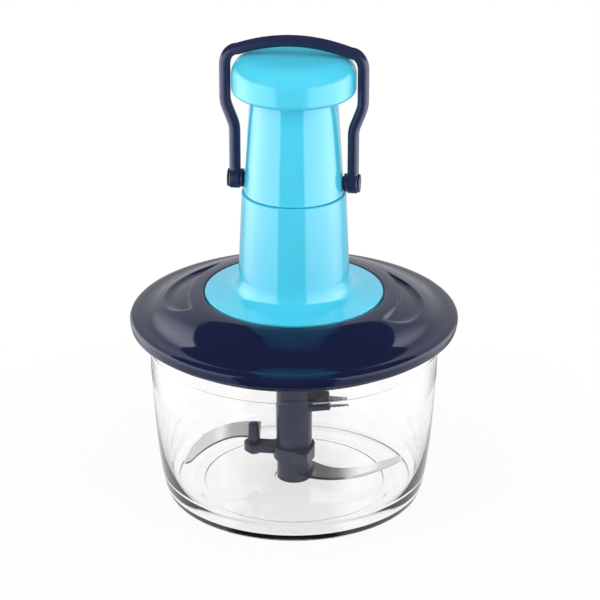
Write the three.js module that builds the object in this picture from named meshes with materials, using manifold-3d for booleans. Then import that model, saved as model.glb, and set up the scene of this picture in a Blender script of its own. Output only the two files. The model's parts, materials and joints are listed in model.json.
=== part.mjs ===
// Press-down food chopper: a clear bowl with a curved-blade rotor on its centre pin, a wide domed
// lid that carries the handle column, and a mushroom head whose sleeve telescopes in that column.
// The sleeve holds a nut that rides a twisted drive screw, so raising or pressing the head turns
// the screw, and the screw's hexagonal dog turns the rotor. A wire-like loop swings over the head.
// Units are millimetres, +Z is up, and the origin is the centre of the bowl's underside.
import * as THREE from 'three';
import { mergeVertices } from 'three/addons/utils/BufferGeometryUtils.js';
import Module from 'manifold-3d';

const wasm = await Module();
wasm.setup();

// General values: clearances, overrun of cuts, and how finely round shapes are divided.
const GAP = 0.3;
const RUNNING_GAP = 0.3;
const CUT_OVERRUN = 2;
const FULL_TURN = 2 * Math.PI;
const BIG_SIDES = 48;
const COLUMN_SIDES = 32;
const SMALL_SIDES = 20;
const TINY_SIDES = 10;

// Bowl.
const BOWL_HEIGHT = 100;
const BOWL_TOP_RADIUS = 79.6;
const BOWL_FOOT_INSET = 7.6;
const BOWL_SHOULDER_INSET = 1.8;
const BOWL_SHOULDER_SHARE = 0.25;
const BOWL_WALL = 2.4;
const BOWL_FLOOR = 2.4;
const BOWL_CORNER = 3.5;
const BOWL_RIM_BAND_HEIGHT = 13;
const BOWL_RIM_BAND_PROUD = 0.7;
const BOWL_PUNT_INSET = 21;
const BOWL_PUNT_DEPTH = 0.8;
const BOWL_PIN_RADIUS = 3;
const BOWL_PIN_HEIGHT = 15;
const BOWL_PIN_ROUND = 0.5;
const BOWL_PLATEAU_INSET = 15.5;
const BOWL_PLATEAU = 0.5;
const BOWL_HUB_RECESS_RADIUS = 10.8;

// Rotor: the upright shaft with its socket, the blades and the arm that carries one of them.
const SHAFT_RADIUS = 10;
const SHAFT_FOOT_RADIUS = 9.6;
const SHAFT_FOOT_HEIGHT = 14;
const SHAFT_TOP_DROP = 6.5;
const SHAFT_EDGE = 0.8;
const SOCKET_DEPTH = 13;
const BLADE_THICKNESS = 1.2;
const LOW_BLADE_HEIGHT = 11.4;
const LOW_BLADE_ROOT_X = 3.9;
// Each curved blade follows a curve from its root, by two pulls, to its tip, seen from above, in
// shares of the rotor's reach.
const BLADE_SPACE = 8.2;
const LOW_BLADE_SHARES = [[0.061, -0.016], [0.345, -0.118], [0.721, -0.094], [0.956, 0.295]];
const LOW_BLADE_WIDTHS = [22, 27, 4.5];
const COLLAR_WALL = 1.4;
const COLLAR_BOTTOM = 16.6;
const COLLAR_HEIGHT = 8;
const COLLAR_BLOCK_DEPTH = 1.8;
const COLLAR_BLOCK_LOW_SHARE = 0.1;
const COLLAR_BLOCK_HIGH_SHARE = 0.85;
const ARM_THICKNESS = 5;
const ARM_TOP = 24;
const ARM_WIDTH = 9.2;
const ARM_PAD_RADIUS = 5.6;
const POST_REACH_SHARE = 0.357;
const POST_RADIUS = 3.2;
const POST_SHANK_RADIUS = 2;
const POST_HEIGHT = 11.5;
const POST_TAIL = 1.6;
const HIGH_BLADE_SHARES = [[-0.266, 0.172], [-0.517, 0.251], [-0.752, -0.031], [-0.831, -0.58]];
const HIGH_BLADE_WIDTHS = [22, 29, 6];
const BLADE_STEPS = 12;
const HIGH_BLADE_PAD_RADIUS = 6.6;
const TOP_BLADE_HEIGHT = 50;
const TOP_BLADE_REACH = 30;
const TOP_BLADE_ROOT_WIDTH = 9;
const TOP_BLADE_TIP_WIDTH = 3.4;
const TOP_BLADE_TURN = 8;
const TOP_BLADE_SCALLOP = 1.6;
const HOLDER_REACH = 20;
const HOLDER_ROOT_WIDTH = 13;
const HOLDER_TIP_WIDTH = 10;
const HOLDER_THICKNESS = 5;

// Lid. Its heights count from the bowl's rim, and its radii from the bowl's mouth.
const LID_SKIRT_SPACE = 3.7;
const LID_SKIRT_WALL = 2;
const LID_SKIRT_DROP = 3.2;
const LID_RIM_REACH = 4;
const LID_RIM_DROP = 1;
const LID_RIM_RISE = 5.4;
const LID_RIM_ROUND = 2;
const LID_WALL = 2.4;
const LID_DOME_RISE = 9.2;
const LID_LIP_RISE = 17.2;
const LID_FLOOR_RISE = 14.4;
const LID_FLOOR = 2.4;
const LID_CROWN_SHARE = 0.33;
const LID_CROWN_DROP = 0.3;
const PLUG_SPACE = 1;
const PLUG_DROP = 7.7;
const PLUG_WALL = 2.4;
const SEAL_HEIGHT = 4;
const SEAL_DEPTH = 1;
const SEAL_PROUD = 0.6;
const SEAL_ABOVE_PLUG = 1.2;
const HUB_WALL = 2.6;
const HUB_DROP = 3.5;
// A scoop's outline from its tail at the back to its blunt front: how far along, and the shares of
// the way from the well's lip to the plug's radius at which its inner and outer edges lie.
const SCOOP_ALONG_SHARES = [0, 0.15, 0.3, 0.5, 0.75, 0.9, 1];
const SCOOP_INNER_SHARES = [0.36, 0.31, 0.29, 0.28, 0.29, 0.31, 0.34];
const SCOOP_OUTER_SHARES = [0.38, 0.48, 0.64, 0.78, 0.8, 0.69, 0.45];
const SCOOP_TAIL_ANGLE = 50;
const SCOOP_SWEEP_ANGLE = 70;
const SCOOP_DEPTH = 2;
const SCOOP_STEPS = 12;
const LID_CROWN_STEPS = 5;
const LID_SWEEP_STEPS = 3;

// Handle column.
const DISC_REACH = 14.6;
const DISC_EDGE_RISE = 0.4;
const DISC_SPACE = 0.8;
const DISC_EDGE_ROUND = 0.8;
const FLARE_REACH = 4;
const FLARE_RISE = 2.8;
const COLUMN_FOOT_RISE = 11.6;
const COLUMN_FOOT_WALL = 2.8;
const COLUMN_LENGTH = 60.6;
const COLUMN_RIM_WALL = 1.9;
const COLUMN_RIM_ROUND = 0.8;
const COLUMN_WALL = 1.5;
const GUIDE_RIB_WIDTH = 4;
const GUIDE_RIB_DEPTH = 1.6;
const SCREW_CIRCLE_SHARE = 0.55;
const SCREW_COUNT = 4;
const SCREW_RADIUS = 1.5;
const SCREW_HEAD_RADIUS = 2.8;
const SCREW_HEAD_HEIGHT = 1.8;
const SCREW_BITE = 2.2;

// Plunger: sleeve, mushroom head and drive nut.
const STROKE = 42;
const SLEEVE_RADIUS = 25.9;
const SLEEVE_TAPER = 2.6;
const SLEEVE_SHOULDER_PROUD = 1;
const SLEEVE_SHOULDER_ROUND = 0.4;
const SLEEVE_EXPOSED = 55;
const SLEEVE_STOP_SPACE = 1.6;
const SLEEVE_WALL = 2;
const SLEEVE_WEB = 3;
const SLEEVE_WEB_DROP = 23;
const SLEEVE_FOOT_HEIGHT = 3;
const SLEEVE_FOOT_PROUD = 1;
const HEAD_RADIUS = 33.1;
const HEAD_SPACE = 0.4;
const HEAD_HEIGHT = 20.4;
const HEAD_TOP_ROUND = 10;
const HEAD_BOTTOM_ROUND = 2.4;
const HEAD_WALL = 2.4;
const HEAD_CROWN = 0.8;
const HEAD_CROWN_SHARE = 0.5;
const HEAD_PLATE = 2;
const HEAD_BOSS_RADIUS = 5;
const HEAD_SCREW_RADIUS = 2;
const HEAD_SCREW_HEAD_RADIUS = 3.8;
const HEAD_SCREW_HEAD_HEIGHT = 2.6;
const HEAD_SCREW_BITE = 10;
const NUT_HEIGHT = 12;
const NUT_RADIUS = 8.5;
const NUT_FLANGE_RADIUS = 14;
const NUT_FLANGE = 2;
const NUT_SCREW_CIRCLE_RADIUS = 11.3;
const NUT_SCREW_RADIUS = 1.1;
const NUT_SCREW_HEAD_RADIUS = 1.9;
const NUT_SCREW_HEAD_HEIGHT = 1.2;
const NUT_SCREW_BITE = 2;

// Drive screw, its bush and its dog.
const LEAD = 50;
const THREAD_RADIUS = 4.6;
const THREAD_DEPTH = 1.1;
const THREAD_STARTS = 3;
const THREAD_SPARE = 8;
const THREAD_STEP_ANGLE = 20;
const JOURNAL_RADIUS = 5;
const JOURNAL_FLANGE_RADIUS = 8.5;
const JOURNAL_FLANGE = 2;
const BUSH_WALL = 3;
const BUSH_FLANGE_RADIUS = 10.5;
const BUSH_FLANGE = 1.4;
const DOG_RADIUS = 5.2;
const DOG_LENGTH = 11;
const DOG_FLANGE_RADIUS = 7.5;
const DOG_FLANGE = 1.8;
const DOG_SIDES = 6;
const DOG_STUB_RADIUS = 2.4;
const DOG_STUB_LENGTH = 8;

// Return spring.
const SPRING_RADIUS = 17.5;
const SPRING_WIRE_RADIUS = 0.9;
const SPRING_TURNS = 7;
const SPRING_STEPS_PER_TURN = 8;
const SPRING_WIRE_SIDES = 5;

// Swinging loop and its pivots.
const PIVOT_ABOVE_RIM = 6.2;
const BAIL_WIDTH = 6;
const BAIL_EDGE = 1.6;
const BAIL_SPACE = 0.7;
const BAIL_JOG_BELOW_HEAD = 6.4;
const BAIL_JOG_RISE = 13;
const BAIL_SHOULDER_DROP = 6.8;
const BAIL_CORNER_INSET = 3.1;
const BAIL_CORNER_RISE = 2.4;
const BAIL_ARCH_RISE = 5.4;
const BAIL_STEPS = 54;
const KNUCKLE_RADIUS = 5.6;
const KNUCKLE_SPACE = 0.7;
const KNUCKLE_WIDTH = 5.8;
const PIVOT_BOSS_RADIUS = 5;
const PIVOT_STEM_RADIUS = 3.4;
const PIVOT_PIN_RADIUS = 1.9;
const PIVOT_HEAD_RADIUS = 5;
const PIVOT_HEAD = 0.8;

// Sizes that follow from the ones above.
const BOWL_FOOT_RADIUS = BOWL_TOP_RADIUS - BOWL_FOOT_INSET;
const BOWL_SHOULDER_RADIUS = BOWL_TOP_RADIUS - BOWL_SHOULDER_INSET;
const BOWL_PUNT_RADIUS = BOWL_FOOT_RADIUS - BOWL_PUNT_INSET;
const BOWL_PLATEAU_RADIUS = BOWL_FOOT_RADIUS - BOWL_PLATEAU_INSET;
const BLADE_REACH = BOWL_FOOT_RADIUS - BLADE_SPACE;
const POST_X = -BLADE_REACH * POST_REACH_SHARE;
const POST_Y = 0;
const PLUG_RADIUS = BOWL_TOP_RADIUS - BOWL_WALL - PLUG_SPACE;
const LID_SKIRT_RADIUS = BOWL_TOP_RADIUS + BOWL_RIM_BAND_PROUD + LID_SKIRT_SPACE + LID_SKIRT_WALL;
const LID_RADIUS = LID_SKIRT_RADIUS + LID_RIM_REACH;
const FLANGE_SEAT = BOWL_HEIGHT + GAP;
const LID_RIM_TOP = BOWL_HEIGHT + LID_RIM_RISE;
const LID_RIM_BOTTOM = BOWL_HEIGHT - LID_RIM_DROP;
const LID_SKIRT_BOTTOM = BOWL_HEIGHT - LID_SKIRT_DROP;
const LID_DOME_FOOT = BOWL_HEIGHT + LID_DOME_RISE;
const LID_LIP_HEIGHT = BOWL_HEIGHT + LID_LIP_RISE;
const LID_FLOOR_TOP = BOWL_HEIGHT + LID_FLOOR_RISE;
const PLUG_BOTTOM = BOWL_HEIGHT - PLUG_DROP;
const HUB_BOTTOM = BOWL_HEIGHT - HUB_DROP;
const SHAFT_TOP = HUB_BOTTOM - SHAFT_TOP_DROP;
const SHOULDER_RADIUS = SLEEVE_RADIUS + SLEEVE_SHOULDER_PROUD;
const NECK_RADIUS = SLEEVE_RADIUS + RUNNING_GAP;
const FOOT_RADIUS = SLEEVE_RADIUS + SLEEVE_FOOT_PROUD;
const COLUMN_BORE_RADIUS = FOOT_RADIUS + RUNNING_GAP;
const COLUMN_FOOT_RADIUS = COLUMN_BORE_RADIUS + COLUMN_FOOT_WALL;
const COLUMN_TOP_RADIUS = NECK_RADIUS + COLUMN_RIM_WALL;
const FLARE_RADIUS = COLUMN_FOOT_RADIUS + FLARE_REACH;
const DISC_RADIUS = FLARE_RADIUS + DISC_REACH;
const WELL_RADIUS = DISC_RADIUS + DISC_SPACE;
const DISC_BOTTOM = LID_FLOOR_TOP + GAP;
const DISC_EDGE_TOP = LID_LIP_HEIGHT + DISC_EDGE_RISE;
const FLARE_HEIGHT = DISC_EDGE_TOP + FLARE_RISE;
const COLUMN_FOOT_HEIGHT = FLARE_HEIGHT + COLUMN_FOOT_RISE;
const COLUMN_TOP = LID_FLOOR_TOP + COLUMN_LENGTH;
const SCREW_CIRCLE_RADIUS = THREE.MathUtils.lerp(COLUMN_BORE_RADIUS, DISC_RADIUS, SCREW_CIRCLE_SHARE);
const SLEEVE_BOTTOM = LID_FLOOR_TOP + SLEEVE_STOP_SPACE;
const SLEEVE_WEB_HEIGHT = COLUMN_TOP - SLEEVE_WEB_DROP;
const SLEEVE_SHOULDER = COLUMN_TOP + GAP;
const SLEEVE_TOP = COLUMN_TOP + SLEEVE_EXPOSED;
const SLEEVE_TOP_RADIUS = SLEEVE_RADIUS - SLEEVE_TAPER;
const NECK_BOTTOM = SLEEVE_BOTTOM + SLEEVE_FOOT_HEIGHT + STROKE + SLEEVE_FOOT_PROUD;
const HEAD_BOTTOM = SLEEVE_TOP + HEAD_SPACE;
const HEAD_TOP = HEAD_BOTTOM + HEAD_HEIGHT;
const PIVOT_HEIGHT = COLUMN_TOP + PIVOT_ABOVE_RIM;
const KNUCKLE_INNER_X = COLUMN_TOP_RADIUS + KNUCKLE_SPACE;
const BAIL_LOW_X = KNUCKLE_INNER_X + BAIL_WIDTH / 2;
const BAIL_HIGH_X = HEAD_RADIUS + BAIL_SPACE + BAIL_WIDTH / 2;
const BAIL_JOG_END = HEAD_BOTTOM - BAIL_JOG_BELOW_HEAD;
const BAIL_JOG_START = BAIL_JOG_END - BAIL_JOG_RISE;
const BAIL_SHOULDER = HEAD_TOP - BAIL_SHOULDER_DROP;
const BAIL_CORNER_X = HEAD_RADIUS - BAIL_CORNER_INSET;
const BAIL_CORNER_HEIGHT = HEAD_TOP + BAIL_CORNER_RISE;
const BAIL_TOP = BAIL_CORNER_HEIGHT + BAIL_ARCH_RISE;

const radians = THREE.MathUtils.degToRad;

const navy = new THREE.MeshStandardMaterial({ color: 0x26294a, roughness: 0.22, metalness: 0 });
const turquoise = new THREE.MeshStandardMaterial({ color: 0x45cdec, roughness: 0.25, metalness: 0 });
const clear = new THREE.MeshStandardMaterial({
  color: 0xeef3f5, roughness: 0.05, metalness: 0, transparent: true, opacity: 0.3,
});
const steel = new THREE.MeshStandardMaterial({ color: 0xc9cbcc, roughness: 0.2, metalness: 1 });
const darkSteel = new THREE.MeshStandardMaterial({ color: 0x8c8f94, roughness: 0.35, metalness: 1 });
const silicone = new THREE.MeshStandardMaterial({ color: 0xe4e6e8, roughness: 0.6, metalness: 0 });
const acetal = new THREE.MeshStandardMaterial({ color: 0xe9e7e0, roughness: 0.45, metalness: 0 });

// Leaves only positions, merges shared vertices, drops collapsed triangles and turns the faces out.
function closed(geometry) {
  const bare = geometry.clone();
  for (const name of Object.keys(bare.attributes)) {
    if (name !== 'position') bare.deleteAttribute(name);
  }
  bare.clearGroups();
  const merged = mergeVertices(bare, 1e-4);
  const source = merged.index.array;
  const kept = [];
  for (let i = 0; i < source.length; i += 3) {
    const [a, b, c] = [source[i], source[i + 1], source[i + 2]];
    if (a !== b && b !== c && c !== a) kept.push(a, b, c);
  }
  const at = (i) => new THREE.Vector3().fromBufferAttribute(merged.attributes.position, i);
  let volume = 0;
  for (let i = 0; i < kept.length; i += 3) {
    volume += at(kept[i]).dot(at(kept[i + 1]).cross(at(kept[i + 2])));
  }
  if (volume < 0) {
    for (let i = 0; i < kept.length; i += 3) [kept[i], kept[i + 1]] = [kept[i + 1], kept[i]];
  }
  merged.setIndex(kept);
  return merged;
}

function toSolid(geometry) {
  const merged = closed(geometry);
  return new wasm.Manifold(new wasm.Mesh({
    numProp: 3,
    vertProperties: new Float32Array(merged.attributes.position.array),
    triVerts: new Uint32Array(merged.index.array),
  }));
}

function toGeometry(solid) {
  const { vertProperties, triVerts } = solid.getMesh();
  const geometry = new THREE.BufferGeometry();
  geometry.setAttribute('position', new THREE.BufferAttribute(vertProperties, 3));
  geometry.setIndex(new THREE.BufferAttribute(triVerts, 1));
  return geometry;
}

const cut = (body, ...tools) => tools.reduce((left, tool) => left.subtract(toSolid(tool)), toSolid(body));

function cutGeometry(body, ...tools) {
  return toGeometry(cut(body, ...tools));
}

// Corners are [x, y] or [x, y, radius]: a corner with a radius becomes an arc of a few steps.
function outline(corners, steps = 3) {
  const points = [];
  corners.forEach(([x, y, radius], i) => {
    const corner = new THREE.Vector2(x, y);
    if (!radius) {
      points.push(corner);
      return;
    }
    const [px, py] = corners[(i + corners.length - 1) % corners.length];
    const [nx, ny] = corners[(i + 1) % corners.length];
    const back = new THREE.Vector2(px, py).sub(corner).normalize();
    const ahead = new THREE.Vector2(nx, ny).sub(corner).normalize();
    const half = Math.acos(THREE.MathUtils.clamp(back.dot(ahead), -1, 1)) / 2;
    const reach = radius / Math.tan(half);
    const middle = back.clone().add(ahead).normalize().multiplyScalar(radius / Math.sin(half)).add(corner);
    const start = corner.clone().addScaledVector(back, reach).sub(middle);
    const end = corner.clone().addScaledVector(ahead, reach).sub(middle);
    const sweep = Math.atan2(start.cross(end), start.dot(end));
    for (let s = 0; s <= steps; s += 1) {
      points.push(start.clone().rotateAround(new THREE.Vector2(), sweep * s / steps).add(middle));
    }
  });
  return points;
}

// A closed [radius, height] profile turned about the Z axis.
function turned(points, sides) {
  const profile = points.map((p) => (Array.isArray(p) ? new THREE.Vector2(p[0], p[1]) : p));
  return new THREE.LatheGeometry([...profile, profile[0]], sides).rotateX(Math.PI / 2);
}

function ring(inner, outer, bottom, top, sides) {
  return turned([[inner, bottom], [outer, bottom], [outer, top], [inner, top]], sides);
}

function rod(radius, bottom, top, sides) {
  return new THREE.CylinderGeometry(radius, radius, top - bottom, sides)
    .rotateX(Math.PI / 2).translate(0, 0, (bottom + top) / 2);
}

// A cylinder along X from one place to another, at a height.
function crossRod(radius, fromX, toX, height, sides) {
  return new THREE.CylinderGeometry(radius, radius, toX - fromX, sides)
    .rotateZ(Math.PI / 2).translate((fromX + toX) / 2, 0, height);
}

function slab(points, bottom, thickness) {
  return new THREE.ExtrudeGeometry(new THREE.Shape(points), { depth: thickness, bevelEnabled: false })
    .translate(0, 0, bottom);
}

// A lobed section that turns clockwise as it rises: one full turn for each lead.
function twisted(radius, depth, bottom, top) {
  const steps = Math.ceil((top - bottom) / LEAD * 360 / THREAD_STEP_ANGLE);
  const sides = THREAD_STARTS * 4;
  const positions = [];
  const faces = [];
  for (let s = 0; s <= steps; s += 1) {
    const height = THREE.MathUtils.lerp(bottom, top, s / steps);
    for (let i = 0; i < sides; i += 1) {
      const angle = FULL_TURN * i / sides;
      const reach = radius - depth / 2 * (1 - Math.cos(THREAD_STARTS * angle));
      const turn = angle - FULL_TURN * height / LEAD;
      positions.push(reach * Math.cos(turn), reach * Math.sin(turn), height);
    }
  }
  for (let s = 0; s < steps; s += 1) {
    for (let i = 0; i < sides; i += 1) {
      const next = (i + 1) % sides;
      const [a, b] = [s * sides + i, s * sides + next];
      faces.push(a, b, a + sides, b, b + sides, a + sides);
    }
  }
  for (let i = 1; i < sides - 1; i += 1) {
    faces.push(0, i + 1, i);
    faces.push(steps * sides, steps * sides + i, steps * sides + i + 1);
  }
  const geometry = new THREE.BufferGeometry();
  geometry.setAttribute('position', new THREE.Float32BufferAttribute(positions, 3));
  geometry.setIndex(faces);
  return geometry;
}

function piece(name, geometry, material) {
  const made = new THREE.Mesh(closed(geometry), material);
  made.name = name;
  return made;
}

// Bowl: a thin moulded wall that swells above its foot, a proud band under the rim and a centre pin.
function bowlWall(offset, steps) {
  const curve = new THREE.QuadraticBezierCurve(
    new THREE.Vector2(BOWL_FOOT_RADIUS - offset, BOWL_CORNER + offset),
    new THREE.Vector2(BOWL_SHOULDER_RADIUS - offset, BOWL_HEIGHT * BOWL_SHOULDER_SHARE),
    new THREE.Vector2(BOWL_TOP_RADIUS - offset, BOWL_HEIGHT),
  );
  return curve.getPoints(steps);
}

function makeBowl() {
  const outside = bowlWall(0, 5);
  const inside = bowlWall(BOWL_WALL, 4).reverse();
  const bandFoot = BOWL_HEIGHT - BOWL_RIM_BAND_HEIGHT;
  const below = outside.filter((p) => p.y < bandFoot - BOWL_RIM_BAND_PROUD);
  const bandRadius = BOWL_TOP_RADIUS + BOWL_RIM_BAND_PROUD;
  const corner = outline([
    [BOWL_PUNT_RADIUS, 0],
    [BOWL_FOOT_RADIUS - BOWL_WALL / 2, 0, BOWL_CORNER],
    [below[0].x, below[0].y],
  ]).slice(0, -1);
  const floorTop = BOWL_FLOOR + BOWL_PUNT_DEPTH;
  const profile = [
    new THREE.Vector2(0, BOWL_PUNT_DEPTH),
    new THREE.Vector2(BOWL_PUNT_RADIUS - BOWL_PUNT_DEPTH, BOWL_PUNT_DEPTH),
    ...corner,
    ...below,
    new THREE.Vector2(BOWL_TOP_RADIUS - BOWL_RIM_BAND_PROUD / 2, bandFoot - BOWL_RIM_BAND_PROUD),
    new THREE.Vector2(bandRadius, bandFoot),
    new THREE.Vector2(bandRadius, BOWL_HEIGHT - BOWL_RIM_BAND_PROUD),
    new THREE.Vector2(bandRadius - BOWL_RIM_BAND_PROUD, BOWL_HEIGHT),
    ...inside,
    new THREE.Vector2(BOWL_FOOT_RADIUS - BOWL_WALL - BOWL_CORNER, floorTop),
    new THREE.Vector2(BOWL_PLATEAU_RADIUS, floorTop),
    new THREE.Vector2(BOWL_PLATEAU_RADIUS - BOWL_PLATEAU, floorTop + BOWL_PLATEAU),
    new THREE.Vector2(BOWL_HUB_RECESS_RADIUS, floorTop + BOWL_PLATEAU),
    new THREE.Vector2(BOWL_HUB_RECESS_RADIUS, floorTop),
    new THREE.Vector2(BOWL_PIN_RADIUS, floorTop),
    new THREE.Vector2(BOWL_PIN_RADIUS, BOWL_PIN_HEIGHT),
    new THREE.Vector2(BOWL_PIN_RADIUS - BOWL_PIN_ROUND, BOWL_PIN_HEIGHT + BOWL_PIN_ROUND),
    new THREE.Vector2(0, BOWL_PIN_HEIGHT + BOWL_PIN_ROUND),
  ];
  return [piece('bowl', turned(profile, BIG_SIDES), clear)];
}

// Rotor.
// A curved blade's outline: both edges of a strip whose width eases from root to belly to tip.
function bladeOutline(shares, widths) {
  const middle = new THREE.CubicBezierCurve(
    ...shares.map(([x, y]) => new THREE.Vector2(x, y).multiplyScalar(BLADE_REACH)));
  const width = new THREE.QuadraticBezierCurve(...widths.map((w) => new THREE.Vector2(w / 2, 0)));
  const edge = (share, side) => {
    const along = middle.getTangent(share);
    return new THREE.Vector2(-along.y, along.x).multiplyScalar(side * width.getPoint(share).x)
      .add(middle.getPoint(share));
  };
  const spots = Array.from({ length: BLADE_STEPS + 1 }, (_, i) => i / BLADE_STEPS);
  return [
    ...spots.map((share) => edge(share, -1)),
    ...spots.reverse().map((share) => edge(share, 1)),
  ];
}

function topBladeOutline() {
  const start = SHAFT_RADIUS + GAP;
  const edge = (x) => {
    const share = (x - start) / (TOP_BLADE_REACH - start);
    return THREE.MathUtils.lerp(TOP_BLADE_ROOT_WIDTH, TOP_BLADE_TIP_WIDTH, share) / 2;
  };
  const points = [new THREE.Vector2(start, edge(start)), new THREE.Vector2(start, -edge(start))];
  const scallops = 4;
  const pitch = (TOP_BLADE_REACH - HOLDER_REACH) / scallops;
  for (let i = 0; i < scallops; i += 1) {
    const x = HOLDER_REACH + i * pitch;
    points.push(new THREE.Vector2(x, -edge(x)));
    points.push(new THREE.Vector2(x + pitch / 2, -edge(x) + TOP_BLADE_SCALLOP));
  }
  points.push(new THREE.Vector2(TOP_BLADE_REACH, -edge(TOP_BLADE_REACH)));
  points.push(new THREE.Vector2(TOP_BLADE_REACH, edge(TOP_BLADE_REACH)));
  return points;
}

function makeRotor() {
  const shaftBottom = BOWL_FLOOR + BOWL_PUNT_DEPTH + GAP;
  const boreTop = BOWL_PIN_HEIGHT + BOWL_PIN_ROUND + GAP;
  const boreRadius = BOWL_PIN_RADIUS + RUNNING_GAP;
  const body = turned(outline([
    [0, boreTop],
    [boreRadius, boreTop],
    [boreRadius, shaftBottom],
    [SHAFT_FOOT_RADIUS, shaftBottom, SHAFT_EDGE],
    [SHAFT_FOOT_RADIUS, SHAFT_FOOT_HEIGHT],
    [SHAFT_RADIUS, SHAFT_FOOT_HEIGHT + SHAFT_EDGE],
    [SHAFT_RADIUS, SHAFT_TOP, SHAFT_EDGE],
    [0, SHAFT_TOP],
  ], 2), SMALL_SIDES);
  const holder = slab([
    new THREE.Vector2(0, -HOLDER_ROOT_WIDTH / 2),
    new THREE.Vector2(SHAFT_RADIUS, -HOLDER_ROOT_WIDTH / 2),
    new THREE.Vector2(HOLDER_REACH, -HOLDER_TIP_WIDTH / 2),
    new THREE.Vector2(HOLDER_REACH, HOLDER_TIP_WIDTH / 2),
    new THREE.Vector2(SHAFT_RADIUS, HOLDER_ROOT_WIDTH / 2),
    new THREE.Vector2(0, HOLDER_ROOT_WIDTH / 2),
  ], TOP_BLADE_HEIGHT - HOLDER_THICKNESS / 2, HOLDER_THICKNESS).rotateZ(radians(TOP_BLADE_TURN));
  const bladeSlot = slab(outline([
    [SHAFT_RADIUS, -TOP_BLADE_ROOT_WIDTH / 2 - GAP],
    [HOLDER_REACH + CUT_OVERRUN, -TOP_BLADE_ROOT_WIDTH / 2 - GAP],
    [HOLDER_REACH + CUT_OVERRUN, TOP_BLADE_ROOT_WIDTH / 2 + GAP],
    [SHAFT_RADIUS, TOP_BLADE_ROOT_WIDTH / 2 + GAP],
  ]), TOP_BLADE_HEIGHT - BLADE_THICKNESS / 2 - GAP, BLADE_THICKNESS + 2 * GAP)
    .rotateZ(radians(TOP_BLADE_TURN));
  const lowSlot = slab([
    new THREE.Vector2(LOW_BLADE_ROOT_X - GAP, -SHAFT_RADIUS - CUT_OVERRUN),
    new THREE.Vector2(SHAFT_RADIUS + CUT_OVERRUN, -SHAFT_RADIUS - CUT_OVERRUN),
    new THREE.Vector2(SHAFT_RADIUS + CUT_OVERRUN, SHAFT_RADIUS + CUT_OVERRUN),
    new THREE.Vector2(LOW_BLADE_ROOT_X - GAP, SHAFT_RADIUS + CUT_OVERRUN),
  ], LOW_BLADE_HEIGHT - GAP, BLADE_THICKNESS + 2 * GAP);
  const socket = rod(DOG_RADIUS + GAP, SHAFT_TOP - SOCKET_DEPTH, SHAFT_TOP + CUT_OVERRUN, DOG_SIDES);
  const shaft = toGeometry(toSolid(body).add(toSolid(holder))
    .subtract(toSolid(bladeSlot)).subtract(toSolid(lowSlot)).subtract(toSolid(socket)));

  const ringInner = SHAFT_RADIUS + GAP;
  const ringOuter = ringInner + COLLAR_WALL;
  const collarTop = COLLAR_BOTTOM + COLLAR_HEIGHT;
  const armBottom = ARM_TOP - ARM_THICKNESS;
  const collar = rod(ringOuter, COLLAR_BOTTOM, collarTop, SMALL_SIDES);
  const arm = slab([
    new THREE.Vector2(0, POST_Y - ARM_WIDTH / 2),
    new THREE.Vector2(0, POST_Y + ARM_WIDTH / 2),
    new THREE.Vector2(POST_X, POST_Y + ARM_WIDTH / 2),
    new THREE.Vector2(POST_X, POST_Y - ARM_WIDTH / 2),
  ], armBottom, ARM_THICKNESS);
  const pad = rod(ARM_PAD_RADIUS, armBottom, ARM_TOP, SMALL_SIDES).translate(POST_X, POST_Y, 0);
  const blockFront = -ringOuter - COLLAR_BLOCK_DEPTH;
  const blockBottom = THREE.MathUtils.lerp(COLLAR_BOTTOM, collarTop, COLLAR_BLOCK_LOW_SHARE);
  const blockTop = THREE.MathUtils.lerp(COLLAR_BOTTOM, collarTop, COLLAR_BLOCK_HIGH_SHARE);
  const block = slab([
    new THREE.Vector2(COLLAR_BLOCK_DEPTH, blockFront),
    new THREE.Vector2(ringOuter, blockFront),
    new THREE.Vector2(ringOuter, -SHAFT_RADIUS / 2),
    new THREE.Vector2(COLLAR_BLOCK_DEPTH, -SHAFT_RADIUS / 2),
  ], blockBottom, blockTop - blockBottom);
  const armHole = rod(ringInner, COLLAR_BOTTOM - CUT_OVERRUN, collarTop + CUT_OVERRUN, SMALL_SIDES);
  const postHole = rod(POST_SHANK_RADIUS + GAP, armBottom - CUT_OVERRUN, ARM_TOP + CUT_OVERRUN, TINY_SIDES)
    .translate(POST_X, POST_Y, 0);
  const armSolid = toSolid(collar).add(toSolid(arm)).add(toSolid(pad)).add(toSolid(block))
    .subtract(toSolid(armHole)).subtract(toSolid(postHole));

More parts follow.
